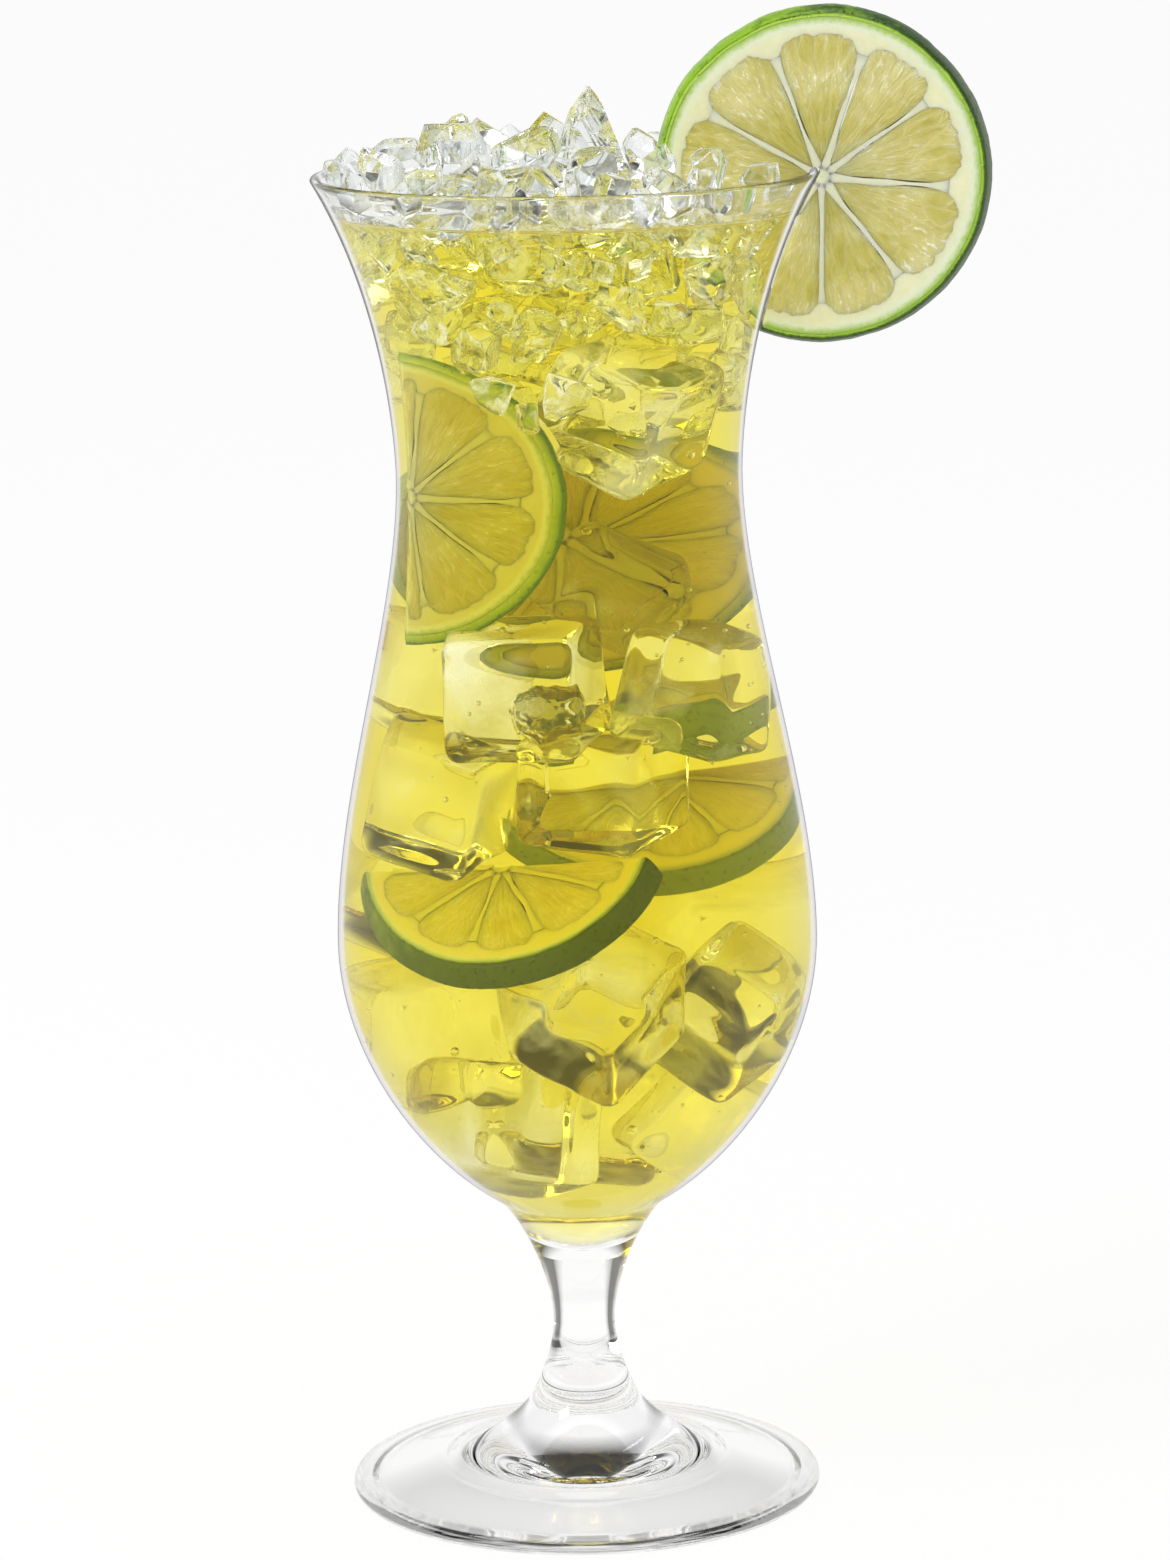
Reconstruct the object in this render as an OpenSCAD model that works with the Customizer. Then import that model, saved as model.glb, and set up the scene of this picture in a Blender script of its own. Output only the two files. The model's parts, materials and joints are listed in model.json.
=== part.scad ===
// A hurricane glass, served full: the glass, its drink, the ice, the lime slices in it and the
// lime wheel that is pushed over the rim. The origin is the middle of the foot's underside.

/* [Glass] */
// Height of the glass from the table to its rim
glass_h = 207; // [195:0.5:220]
// Outer radius at the rim
rim_r = 38.45; // [36:0.05:41]
// Thickness of the glass at the rim
rim_wall = 1.2; // [0.9:0.05:1.6]
// Thickness of the bowl's wall
wall = 1.6; // [1.2:0.05:2]
// Height of the waist
waist_z = 161; // [155:0.5:166]
// Outer radius at the waist
waist_r = 26.46; // [25.4:0.02:28]
// Height of the widest place of the belly
belly_z = 88.5; // [85:0.5:94]
// Outer radius at the belly
belly_r = 37.13; // [36:0.01:39]
// Height where the belly turns into the neck of the stem
base_z = 47.3; // [46:0.1:49]
// Outer radius there
base_r = 13.5; // [12.8:0.1:14.5]
// Height of the inside's floor
floor_z = 40.3; // [39.8:0.1:41.5]

/* [Stem and foot] */
// Height of the face where the bowl is fused to the stem
bowl_joint_z = 38.3; // [37:0.1:38.8]
// Height of the thinnest place of the stem
stem_z = 26.8; // [24:0.1:29]
// Radius of the stem there
stem_r = 4.8; // [4.2:0.05:5.5]
// Height of the face where the stem is fused to the foot
foot_joint_z = 13.9; // [12.5:0.1:15]
// Radius of the stem at that face
foot_joint_r = 8.9; // [8:0.1:9.8]
// Radius of the foot
foot_r = 36.7; // [34:0.1:40]
// Thickness of the foot near its edge
foot_edge = 2.8; // [2.2:0.1:3.4]
// Width of the ring that the foot stands on
standing_ring_w = 1.8; // [1:0.1:3]
// Radius of the hollow under the middle of the foot
punt_r = 20; // [16:0.5:23]
// Height of that hollow
punt_h = 4.2; // [3:0.1:5]

/* [Drink and ice] */
// Distance from the rim down to the surface of the drink
headspace = 5.5; // [4:0.5:9]
// Edge of an ice cube
cube_edge = 18.5; // [16:0.5:20]
// Chamfer that melting leaves on a cube
cube_melt = 1.5; // [0.8:0.1:2.4]
// Distance between the pieces of crushed ice
chip_pitch = 10; // [9:0.5:12]
// Edge of a piece of crushed ice
chip_edge = 8.6; // [7:0.1:9.2]
// Height of the middle of the heap over the rim
heap_h = 8.5; // [6:0.5:10]
// Edge of the lump that stands on its corner on top of the heap
peak_edge = 10; // [8:0.2:12]
// Height of that lump's tip over the rim
peak_h = 13.8; // [12:0.2:17]

/* [Lime] */
// Radius of the lime wheel on the rim
garnish_r = 26; // [23:0.5:28]
// Thickness of that wheel
garnish_t = 5; // [4:0.25:6]
// Radius of the slices in the drink
slice_r = 23; // [21:0.25:24]
// Thickness of these slices
slice_t = 4.6; // [3.6:0.2:5.4]
// Depth of the green peel
peel_w = 1.1; // [0.8:0.1:1.6]
// Depth of the white pith under the peel
pith_w = 1.6; // [1:0.1:2.4]
// Radius of the white core
core_r = 1.6; // [1:0.1:2.4]
// Thickness of the skin between two segments
membrane_w = 0.6; // [0.4:0.1:1]
// How much smaller one face of a slice is than the other
taper = 0.9; // [0.2:0.1:1.5]
// Number of segments in a lime
segments = 9; // [8:1:11]
// Distance from the rim's middle out to the core of the wheel
garnish_out = 1.2; // [0.8:0.1:2.4]
// Distance from the rim down to the core of the wheel
garnish_down = 1.2; // [0.8:0.1:2.4]

/* [Clearances] */
// Gap between the drink and what lies in it
wet_gap = 0.15; // [0.1:0.05:0.3]
// Gap between two neighbouring pieces of ice
ice_gap = 0.4; // [0.3:0.05:0.6]
// Gap on each side of the slit, and round the wheel inside the glass
slit_gap = 0.4; // [0.3:0.05:0.6]
// Seam between peel, pith and flesh
fruit_seam = 0.05; // [0.03:0.01:0.1]

/* [Hidden] */
CUBES = ["ice_cube_upper_front", "ice_cube_waist", "ice_cube_centre", "ice_cube_right",
         "ice_cube_left", "ice_cube_middle_front", "ice_cube_low_front", "ice_cube_low_left",
         "ice_cube_low_right", "ice_cube_bottom_right", "ice_cube_left_back",
         "ice_cube_high_back", "ice_cube_back_left", "ice_cube_back_right", "ice_cube_bottom_back"];

$fn = 96;
big = 4 * rim_r;
curve_steps = 14;

// the upper and lower ends of each stretch of the outline carry handles, as shares of its height
rim_lean_share = 0.578;
rim_handle_share = 0.498;
waist_over_share = 0.067;
waist_under_share = 0.29;
belly_over_share = 0.319;
belly_under_share = 0.427;
base_lean_share = 0.62;
base_over_share = 0.337;
base_under_share = 0.165;
stem_over_share = 0.398;
wall_blend = waist_r;

function bez(a, b, c, d, n) =
    [for (i = [0 : n - 1]) let (t = i / n, u = 1 - t)
        u * u * u * a + 3 * u * u * t * b + 3 * u * t * t * c + t * t * t * d];
function unit(v) = v / norm(v);

rim_c = [rim_r - rim_wall / 2, glass_h - rim_wall / 2];
upper_h = rim_c[1] - waist_z;
middle_h = waist_z - belly_z;
lower_h = belly_z - base_z;
neck_h = base_z - stem_z;
base_dir = unit([1, base_lean_share]);

outer_top = bez([rim_r, rim_c[1]],
    [rim_r, rim_c[1]] - upper_h * rim_handle_share * unit([rim_lean_share, 1]),
    [waist_r, waist_z + upper_h * waist_over_share], [waist_r, waist_z], curve_steps);
outer_middle = bez([waist_r, waist_z], [waist_r, waist_z - middle_h * waist_under_share],
    [belly_r, belly_z + middle_h * belly_over_share], [belly_r, belly_z], curve_steps);
outer_lower = bez([belly_r, belly_z], [belly_r, belly_z - lower_h * belly_under_share],
    [base_r, base_z] + lower_h * base_over_share * base_dir, [base_r, base_z], curve_steps);
outer_neck = bez([base_r, base_z], [base_r, base_z] - neck_h * base_under_share * base_dir,
    [stem_r, stem_z + neck_h * stem_over_share], [stem_r, stem_z], curve_steps);
outer = concat(outer_top, outer_middle, outer_lower, outer_neck);
neck_table = [for (p = outer_neck) [p[1], p[0]]];
bowl_joint_r = lookup(bowl_joint_z, neck_table);

// the inside follows the outside at the wall's thickness, and ends in a round floor
shell = concat(outer_top, outer_middle, outer_lower);
function wall_at(z) = rim_wall + (wall - rim_wall) * min(1, (rim_c[1] - z) / wall_blend);
function inward(i) = let (d = unit(shell[min(i + 1, len(shell) - 1)] - shell[max(i - 1, 0)])) [d[1], -d[0]];
inner_wall = concat([[rim_r - rim_wall, rim_c[1]]],
    [for (i = [1 : len(shell) - 1]) shell[i] + wall_at(shell[i][1]) * inward(i)]);
floor_start = inner_wall[len(inner_wall) - 1];
floor_drop = floor_start[1] - floor_z;
inner_floor = bez(floor_start, floor_start - floor_drop / 2 * base_dir,
    [floor_start[0] / 2, floor_z], [0, floor_z], curve_steps);
inner = concat(inner_wall, [for (i = [1 : curve_steps - 1]) inner_floor[i]], [[0, floor_z]]);
inner_table = [for (p = inner) [p[1], p[0]]];
function inner_r(z) = lookup(z, inner_table);

drink_z = glass_h - headspace;
depth = drink_z - floor_z;

// places inside the bowl: shares of the inner radius there, and of the depth of the drink
function place(s) = let (z = floor_z + s[2] * depth, r = inner_r(z)) [s[0] * r, s[1] * r, z];

// the bowl is one blown piece; it is kept in two nodes, which meet halfway between the belly and
// the waist, so that each can be given collision pieces that leave the inside open
module bowl_section() {
    polygon(concat(
        [for (p = outer) if (p[1] > bowl_joint_z) p],
        [[bowl_joint_r, bowl_joint_z], [0, bowl_joint_z]],
        [for (i = [len(inner) - 1 : -1 : 0]) inner[i]],
        [for (a = [150 : -30 : 30]) rim_c + rim_wall / 2 * [cos(a), sin(a)]]));
}

halves_z = (waist_z + belly_z) / 2;
module glass_top() {
    color([0.92, 0.95, 0.96, 0.35])
        rotate_extrude()
            intersection() {
                bowl_section();
                translate([0, halves_z]) square(big);
            }
}

module glass_bowl() {
    color([0.92, 0.95, 0.96, 0.35])
        rotate_extrude()
            intersection() {
                bowl_section();
                translate([0, halves_z - big]) square(big);
            }
}

stem_bend_share = 0.34;
stem_foot_share = 0.18;
stem_lower = bez([stem_r, stem_z], [stem_r, stem_z - (stem_z - foot_joint_z) * stem_bend_share],
    [foot_joint_r - (foot_joint_r - stem_r) * stem_bend_share,
     foot_joint_z + (stem_z - foot_joint_z) * stem_foot_share],
    [foot_joint_r, foot_joint_z], curve_steps);

module glass_stem() {
    color([0.90, 0.93, 0.95, 0.35])
        rotate_extrude()
            polygon(concat(
                [[0, bowl_joint_z], [bowl_joint_r, bowl_joint_z]],
                [for (p = outer_neck) if (p[1] < bowl_joint_z) p],
                stem_lower,
                [[foot_joint_r, foot_joint_z], [0, foot_joint_z]]));
}

// the foot flares from its boss to a thin edge, and is hollow underneath but for the outer ring
flare_r = foot_r * 0.6;
flare_z = foot_edge * 2;
edge_round = foot_edge / 2;
flare_shares = [0.15, 0.7, 0.43, 0.29];
foot_flare = bez([foot_joint_r, foot_joint_z],
    [foot_joint_r + (flare_r - foot_joint_r) * flare_shares[0],
     flare_z + (foot_joint_z - flare_z) * flare_shares[1]],
    [foot_joint_r + (flare_r - foot_joint_r) * flare_shares[2],
     flare_z + (foot_joint_z - flare_z) * flare_shares[3]],
    [flare_r, flare_z], curve_steps);
ring_out = foot_r - edge_round;
ring_in = ring_out - standing_ring_w;
hollow_z = edge_round * 0.8;

module glass_foot() {
    punt = bez([punt_r, hollow_z], [punt_r * 0.85, hollow_z + (punt_h - hollow_z) * 0.6],
        [punt_r * 0.5, punt_h], [0, punt_h], curve_steps);
    color([0.88, 0.91, 0.93, 0.35])
        rotate_extrude()
            polygon(concat(
                [[0, foot_joint_z]],
                foot_flare,
                [[flare_r, flare_z], [(flare_r + ring_out) / 2, foot_edge * 1.32]],
                [for (a = [90 : -22.5 : -67.5])
                    [ring_out + edge_round * cos(a), edge_round + edge_round * sin(a)]],
                [[ring_out, 0], [ring_in, 0],
                 [ring_in - standing_ring_w, hollow_z * 0.6],
                 [(ring_in + punt_r) / 2, hollow_z]],
                punt,
                [[0, punt_h]]));
}

// what the bowl can hold, drawn in by a gap; above the rim it goes straight up
module inside(gap, top) {
    rotate_extrude()
        polygon(concat(
            [[0, floor_z + gap]],
            [for (i = [len(inner) - 2 : -1 : 0]) let (p = inner[i])
                if (p[1] > floor_z + gap && p[1] < top) [p[0] - gap * 1.2, p[1]]],
            [[inner_r(min(top, rim_c[1])) - gap * 1.2, top], [0, top]]));
}

// ice cubes: place, size as a share of the cube edge, and turn
cube_shares = [
    [0.29, -0.42, 0.822], [0.17, -0.04, 0.640], [-0.24, -0.42, 0.556], [0.56, -0.26, 0.545],
    [-0.56, -0.25, 0.446], [0.10, -0.27, 0.460], [0.06, -0.50, 0.266], [-0.31, -0.14, 0.152],
    [0.55, -0.20, 0.245], [0.50, 0.16, 0.145], [-0.55, 0.14, 0.218],
    [-0.48, 0.36, 0.540], [-0.30, 0.50, 0.320], [0.40, 0.54, 0.275], [0.00, 0.55, 0.165]];
cube_size_shares = [1.02, 0.78, 1.04, 0.96, 0.98, 0.94, 1.0, 1.0, 0.9, 0.8, 0.9, 0.9, 0.95, 0.9, 0.8];
cube_turns = [
    [12, 26, -22], [20, 35, 30], [4, -3, -14], [-6, 12, -20],
    [7, 14, -25], [9, 5, -24], [38, 30, 25], [-4, 6, 20],
    [24, 36, -10], [14, 40, 24], [4, -8, 30],
    [16, 10, 25], [10, 24, -20], [18, 8, 34], [25, 10, 12]];

module ice_block(edge, melt) {
    s = edge / 2;
    c = s - melt;
    corners = [[s, c], [c, s], [-c, s], [-s, c], [-s, -c], [-c, -s], [c, -s], [s, -c]];
    intersection() {
        linear_extrude(edge, center = true) polygon(corners);
        rotate([90, 0, 0]) linear_extrude(edge, center = true) polygon(corners);
        rotate([0, 90, 0]) linear_extrude(edge, center = true) polygon(corners);
    }
}

module cube_block(i, gap) {
    translate(place(cube_shares[i]))
        rotate(cube_turns[i])
            ice_block(cube_edge * cube_size_shares[i] + 2 * gap, cube_melt + gap);
}

function cube_c(i) = place(cube_shares[i]);
function cubes_near(i, p, reach) = norm(cube_c(i) - p) < reach;

// an ice cube gives way to the lime slices and to the cubes before it in the list
module ice_cube(i) {
    color([0.93, 0.95, 0.90, 0.55])
        difference() {
            intersection() {
                cube_block(i, 0);
                inside(wet_gap, drink_z);
            }
            for (j = [0 : 1 : i - 1])
                if (cubes_near(j, cube_c(i), cube_edge * sqrt(3)))
                    cube_block(j, ice_gap);
            for (s = [0 : len(slice_shares) - 1])
                if (norm(slice_c(s) - cube_c(i)) < slice_r + cube_edge)
                    slice_envelope(s, ice_gap);
        }
}

// lime slices in the drink: place, radius as a share, turn, and the sector that is kept
slice_shares = [
    [-0.90, -0.28, 0.737], [0.02, 0.36, 0.676], [0.26, 0.68, 0.508],
    [0.27, 0.20, 0.438], [-0.26, -0.33, 0.376]];
slice_size_shares = [1.02, 0.93, 0.95, 0.91, 0.92];
slice_turns = [
    [0, 0, 166], [0, 0, 186], [6, -12, 0],
    [38, -4, 8], [36, -6, -16]];
// the smaller face of a standing slice looks along +Y, and that of a lying one looks up
slice_stands = [1, 1, 0, 0, 0];
slice_sectors = [[90, 270], [-180, 180], [-120, -30], [-180, 0], [-180, 0]];

function slice_c(s) = place(slice_shares[s]);
function slice_radius(s) = slice_r * slice_size_shares[s];

module put_slice(s) {
    translate(slice_c(s))
        rotate(slice_turns[s])
            rotate([slice_stands[s] * 90, 0, 0])
                children();
}

module sector(a0, a1, r, h) {
    if (a1 - a0 < 360)
        linear_extrude(h, center = true)
            polygon(concat([[0, 0]], [for (a = [a0 : (a1 - a0) / 6 : a1]) r * [cos(a), sin(a)]]));
    else
        cylinder(h = h, r = r, center = true);
}

module slice_envelope(s, gap) {
    r = slice_radius(s);
    a = slice_sectors[s];
    back = gap / sin(45);
    put_slice(s)
        intersection() {
            cylinder(h = slice_t + 2 * gap, r = r + gap, center = true);
            if (a[1] - a[0] < 360)
                rotate((a[0] + a[1]) / 2)
                    translate([-(a[1] - a[0] < 180 ? back : gap), 0, 0])
                        sector((a[0] - a[1]) / 2, (a[1] - a[0]) / 2, 2 * slice_r, 2 * slice_t);
        }
}

// one flesh segment in plan: a wedge whose outer corners are round
corner_share = 0.12;
arc_steps = 10;
module segment_outline(r_out, grow) {
    w = 180 / segments;
    half = membrane_w / 2 - grow;
    b = w - asin(half / r_out);
    tip = max(core_r - grow, half / sin(w));
    polygon(concat([[tip, 0]],
        [for (i = [-arc_steps : 2 : arc_steps]) let (u = i / arc_steps)
            (r_out + grow) * (1 - corner_share * u ^ 6) * [cos(b * u), sin(b * u)]]));
}

module peel_ring(r, t) {
    difference() {
        cylinder(h = t, r1 = r, r2 = r - taper, center = true);
        cylinder(h = 2 * t, r = r - taper - peel_w, center = true);
    }
}

module pith_disc(r, t) {
    flesh_r = r - taper - peel_w - pith_w;
    difference() {
        cylinder(h = t, r = r - taper - peel_w - fruit_seam, center = true);
        for (i = [0 : segments - 1])
            rotate(i * 360 / segments)
                linear_extrude(2 * t, center = true)
                    segment_outline(flesh_r, fruit_seam);
    }
}

module flesh(r, t) {
    flesh_r = r - taper - peel_w - pith_w;
    for (i = [0 : segments - 1])
        rotate(i * 360 / segments)
            linear_extrude(t, center = true)
                segment_outline(flesh_r, 0);
}

module keep_sector(s) {
    a = slice_sectors[s];
    intersection() {
        children();
        sector(a[0], a[1], 2 * slice_r, 2 * slice_t);
    }
}

// a slice gives way to the wall of a bowl that is too narrow for it
module in_bowl() {
    intersection() {
        children();
        inside(wet_gap, drink_z);
    }
}

module slice_peel(s) {
    color([0.35, 0.55, 0.12])
        in_bowl() put_slice(s) keep_sector(s) peel_ring(slice_radius(s), slice_t);
}

module slice_pith(s) {
    color([0.90, 0.93, 0.72])
        in_bowl() put_slice(s) keep_sector(s) pith_disc(slice_radius(s), slice_t);
}

module slice_flesh(s) {
    color([0.80, 0.82, 0.35])
        in_bowl() put_slice(s) keep_sector(s) flesh(slice_radius(s), slice_t);
}

// the wheel on the rim stands in the plane of the wall, turned a little to the front
garnish_yaw = 5;
garnish_roll = 12;
rim_mid = [rim_c[0], 0, glass_h];
garnish_c = [rim_mid[0] + garnish_out, 0, glass_h - garnish_down];
slit_lean = atan2(rim_c[0] - inner_r(glass_h - garnish_r), garnish_r);

// the slit runs along the chord of the wall, wide enough for the wall's curve beside that chord
function beside(p) = (p[0] - rim_mid[0]) * cos(slit_lean) - (p[1] - glass_h) * sin(slit_lean);
slit_sides = [for (p = concat(outer_top, inner_wall)) if (p[1] > glass_h - garnish_r) beside(p)];
slit_in = min(slit_sides) - slit_gap;
slit_out = max(slit_sides) + slit_gap;
slit_top = rim_wall * sin(slit_lean) / 2 + slit_gap;

module slit() {
    translate(rim_mid)
        rotate([0, slit_lean, 0])
            translate([slit_in, -big / 2, slit_top - big])
                cube([slit_out - slit_in, big, big]);
}

module put_garnish() {
    difference() {
        translate(garnish_c)
            rotate([90, 0, -garnish_yaw])
                rotate(garnish_roll)
                    children();
        slit();
    }
}

module garnish_peel() {
    color([0.33, 0.58, 0.10]) put_garnish() peel_ring(garnish_r, garnish_t);
}

module garnish_pith() {
    color([0.93, 0.95, 0.80]) put_garnish() pith_disc(garnish_r, garnish_t);
}

module garnish_flesh() {
    color([0.84, 0.87, 0.50]) put_garnish() flesh(garnish_r, garnish_t);
}

// the room that the wheel passes through on its way up, which ice and drink leave free
module garnish_room() {
    translate(garnish_c)
        rotate([90, 0, -garnish_yaw])
            cylinder(h = garnish_t + 2 * slit_gap, r = garnish_r + slit_gap, center = true);
    translate(garnish_c)
        rotate([0, slit_lean, -garnish_yaw])
            translate([-garnish_r - slit_gap, -garnish_t / 2 - slit_gap, 0])
                cube([garnish_r + slit_gap, garnish_t + 2 * slit_gap, big]);
}

// crushed ice: a close packing of pieces, each a little off its place and turned its own way
layer_h = chip_pitch * sqrt(2 / 3);
row_h = chip_pitch * sqrt(3) / 2;
layers = 6;
surface_layer = 4;
chip_lift_share = 0.36;
chip_wobble_share = 0.06;
chip_reach_share = 1.45;
sunk_edge_share = 0.74;
cut_share = 1.08;
rings = ceil(rim_r / row_h);
wobble = rands(-1, 1, 4096, 11);
turns = rands(0, 90, 4096, 5);
function layer_z(k) = drink_z + chip_pitch * chip_lift_share + (k - surface_layer) * layer_h;
function heap_z(p) = glass_h + heap_h * (1 - (norm([p[0], p[1]]) / rim_r) ^ 3);
function site(k, j, i) =
    let (n = 256 * k + 16 * (j + rings) + i + rings, a = chip_pitch * chip_wobble_share)
    [(i + (j % 2 == 0 ? 0 : 0.5)) * chip_pitch + (k % 2) * chip_pitch / 2 + a * wobble[n],
     j * row_h + (k % 2) * row_h / 3 + a * wobble[n + 1024],
     layer_z(k) + a * wobble[n + 2048],
     n, k];
function in_garnish(p) =
    let (d = [p[0] - garnish_c[0], p[1], p[2] - garnish_c[2]])
    abs(d[1] + d[0] * sin(garnish_yaw)) < (garnish_t + chip_edge * 0.2) / 2 &&
    norm([d[0], d[2]]) < garnish_r + chip_edge / 4;
function in_cube(p, i) = norm(p - cube_c(i)) < cube_edge * cube_size_shares[i] * 0.62;
function in_slice(p, s) =
    let (v = p - slice_c(s), a = slice_turns[s][2], arc = slice_sectors[s],
        half = arc[1] - arc[0] < 360, mid = (arc[0] + arc[1]) / 2,
        along = cos(mid) * (v[0] * cos(a) + v[1] * sin(a)) + sin(mid) * v[2],
        across = v[1] * cos(a) - v[0] * sin(a))
    abs(across) < (slice_t + chip_edge) * 0.4 && norm(v) < slice_radius(s) + chip_edge / 4 &&
    (!half || along > -chip_edge / 4);
function is_free(q) = let (p = [q[0], q[1], q[2]])
    norm([p[0], p[1]]) < inner_r(min(p[2], rim_c[1])) - chip_edge * 0.34 && p[2] < heap_z(p) &&
    !in_garnish(p) && !in_cube(p, 0) && !in_slice(p, 0) && !in_slice(p, 1);
sites = [for (k = [0 : layers - 1], j = [-rings : rings], i = [-rings : rings])
    let (q = site(k, j, i)) if (is_free(q)) q];
function xyz(q) = [q[0], q[1], q[2]];

// the edge and the two turns of a piece; the small ones lie wholly in the drink
function is_sunk(q) = q[4] < surface_layer;
function edge_of(q) = chip_edge * (is_sunk(q) ? sunk_edge_share : 1);
function turn_of(q) = [turns[q[3]], turns[q[3] + 1024], turns[q[3] + 2048]];
function cut_turn_of(q) = [turns[q[3] + 3], turns[q[3] + 1027], 45];

// how far a cube that is turned by a reaches along the direction v
function axes_of(a) =
    let (cx = cos(a[0]), sx = sin(a[0]), cy = cos(a[1]), sy = sin(a[1]), cz = cos(a[2]), sz = sin(a[2]))
    [[cz * cy, sz * cy, -sy],
     [cz * sy * sx - sz * cx, sz * sy * sx + cz * cx, cy * sx],
     [cz * sy * cx + sz * sx, sz * sy * cx - cz * sx, cy * cx]];
function reach(v, a, edge) = let (e = axes_of(a)) edge / 2 * (abs(v * e[0]) + abs(v * e[1]) + abs(v * e[2]));

// between two large pieces that would meet lies a flat face, half the gap away from each
function rivals(q, gap) = is_sunk(q) ? [] :
    [for (o = sites)
        let (v = xyz(o) - xyz(q), d = norm(v), e = edge_of(q) + 2 * gap)
        if (o[3] != q[3] && o[4] >= surface_layer - 1 && d < chip_pitch * chip_reach_share &&
            min(reach(v / d, turn_of(q), e), reach(v / d, cut_turn_of(q), e * cut_share))
                > (d - ice_gap) / 2 + gap) v];

module chip(q, gap) {
    edge = edge_of(q) + 2 * gap;
    side = 2 * chip_edge;
    translate(xyz(q))
        difference() {
            intersection() {
                rotate(turn_of(q)) cube(edge, center = true);
                rotate(cut_turn_of(q)) cube(edge * cut_share, center = true);
            }
            for (v = rivals(q, gap))
                rotate([0, acos(v[2] / norm(v)), atan2(v[1], v[0])])
                    translate([-side / 2, -side / 2, (norm(v) - ice_gap) / 2 + gap])
                        cube(side);
        }
}

module chips_of(from, to, gap) {
    for (q = sites)
        if (q[4] >= from && q[4] <= to)
            chip(q, gap);
}

module crushed_ice(from, to) {
    color([0.95, 0.97, 0.97, 0.6])
        difference() {
            intersection() {
                chips_of(from, to, 0);
                inside(ice_gap, 2 * glass_h);
            }
            garnish_room();
            cube_block(0, ice_gap);
            slice_envelope(0, ice_gap);
            slice_envelope(1, ice_gap);
            if (to >= surface_layer) peak_block(ice_gap);
        }
}

// the tall lump on the heap stands on one corner
peak_shares = [0.09, -0.08];
peak_turn = 25;
module peak_block(gap) {
    tip = sqrt(3) / 2 * peak_edge;
    translate([peak_shares[0] * rim_r, peak_shares[1] * rim_r, glass_h + peak_h - tip])
        rotate([0, 0, peak_turn])
            rotate([0, acos(1 / sqrt(3)), 0])
                rotate([0, 0, 45])
                    cube(peak_edge + 2 * gap, center = true);
}

module ice_peak() {
    color([0.96, 0.98, 0.98, 0.6]) peak_block(0);
}

module drink() {
    color([0.86, 0.80, 0.22, 0.5])
        difference() {
            inside(wet_gap, drink_z);
            for (i = [0 : len(CUBES) - 1]) cube_block(i, wet_gap);
            for (s = [0 : len(slice_shares) - 1]) slice_envelope(s, wet_gap);
            chips_of(0, surface_layer, wet_gap);
            garnish_room();
        }
}

glass_top();
glass_bowl();
glass_stem();
glass_foot();
drink();
ice_cube(0);  // ice_cube_upper_front
ice_cube(1);  // ice_cube_waist
ice_cube(2);  // ice_cube_centre
ice_cube(3);  // ice_cube_right
ice_cube(4);  // ice_cube_left
ice_cube(5);  // ice_cube_middle_front
ice_cube(6);  // ice_cube_low_front
ice_cube(7);  // ice_cube_low_left
ice_cube(8);  // ice_cube_low_right
ice_cube(9);  // ice_cube_bottom_right
ice_cube(10);  // ice_cube_left_back
ice_cube(11);  // ice_cube_high_back
ice_cube(12);  // ice_cube_back_left
ice_cube(13);  // ice_cube_back_right
ice_cube(14);  // ice_cube_bottom_back
crushed_ice(0, 1);  // crushed_ice_lower
crushed_ice(2, 3);  // crushed_ice_upper
crushed_ice(4, 4);  // crushed_ice_surface
crushed_ice(5, 5);  // crushed_ice_heap
ice_peak();
garnish_peel();
garnish_pith();
garnish_flesh();
slice_peel(0);  // upper_slice_peel
slice_pith(0);  // upper_slice_pith
slice_flesh(0);  // upper_slice_flesh
slice_peel(1);  // waist_wheel_peel
slice_pith(1);  // waist_wheel_pith
slice_flesh(1);  // waist_wheel_flesh
slice_peel(2);  // right_wedge_peel
slice_pith(2);  // right_wedge_pith
slice_flesh(2);  // right_wedge_flesh
slice_peel(3);  // right_slice_peel
slice_pith(3);  // right_slice_pith
slice_flesh(3);  // right_slice_flesh
slice_peel(4);  // lower_slice_peel
slice_pith(4);  // lower_slice_pith
slice_flesh(4);  // lower_slice_flesh
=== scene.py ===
import bpy
import bmesh
import numpy as np
import json
import math
import random
from mathutils import Euler, Matrix, Vector, noise

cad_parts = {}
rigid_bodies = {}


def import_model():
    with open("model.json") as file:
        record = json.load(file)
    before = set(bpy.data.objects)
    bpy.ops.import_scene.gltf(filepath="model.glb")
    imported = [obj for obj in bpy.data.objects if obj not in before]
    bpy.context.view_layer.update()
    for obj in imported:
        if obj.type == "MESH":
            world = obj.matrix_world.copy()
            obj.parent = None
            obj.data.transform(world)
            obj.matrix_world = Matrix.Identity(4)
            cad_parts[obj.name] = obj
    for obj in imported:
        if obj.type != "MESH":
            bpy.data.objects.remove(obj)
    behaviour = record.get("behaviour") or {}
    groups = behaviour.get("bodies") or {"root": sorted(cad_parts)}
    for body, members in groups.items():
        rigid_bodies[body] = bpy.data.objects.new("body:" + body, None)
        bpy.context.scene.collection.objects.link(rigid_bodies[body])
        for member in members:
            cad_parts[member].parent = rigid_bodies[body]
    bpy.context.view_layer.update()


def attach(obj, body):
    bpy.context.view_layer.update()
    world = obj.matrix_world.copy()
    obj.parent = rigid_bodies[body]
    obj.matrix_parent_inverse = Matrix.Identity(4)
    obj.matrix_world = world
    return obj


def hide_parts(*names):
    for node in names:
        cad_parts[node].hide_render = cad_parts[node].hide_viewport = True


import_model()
scene = bpy.context.scene
mm = 0.001
noise.seed_set(1)   # noise_vector takes its offsets from it, and from the clock without it


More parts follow.
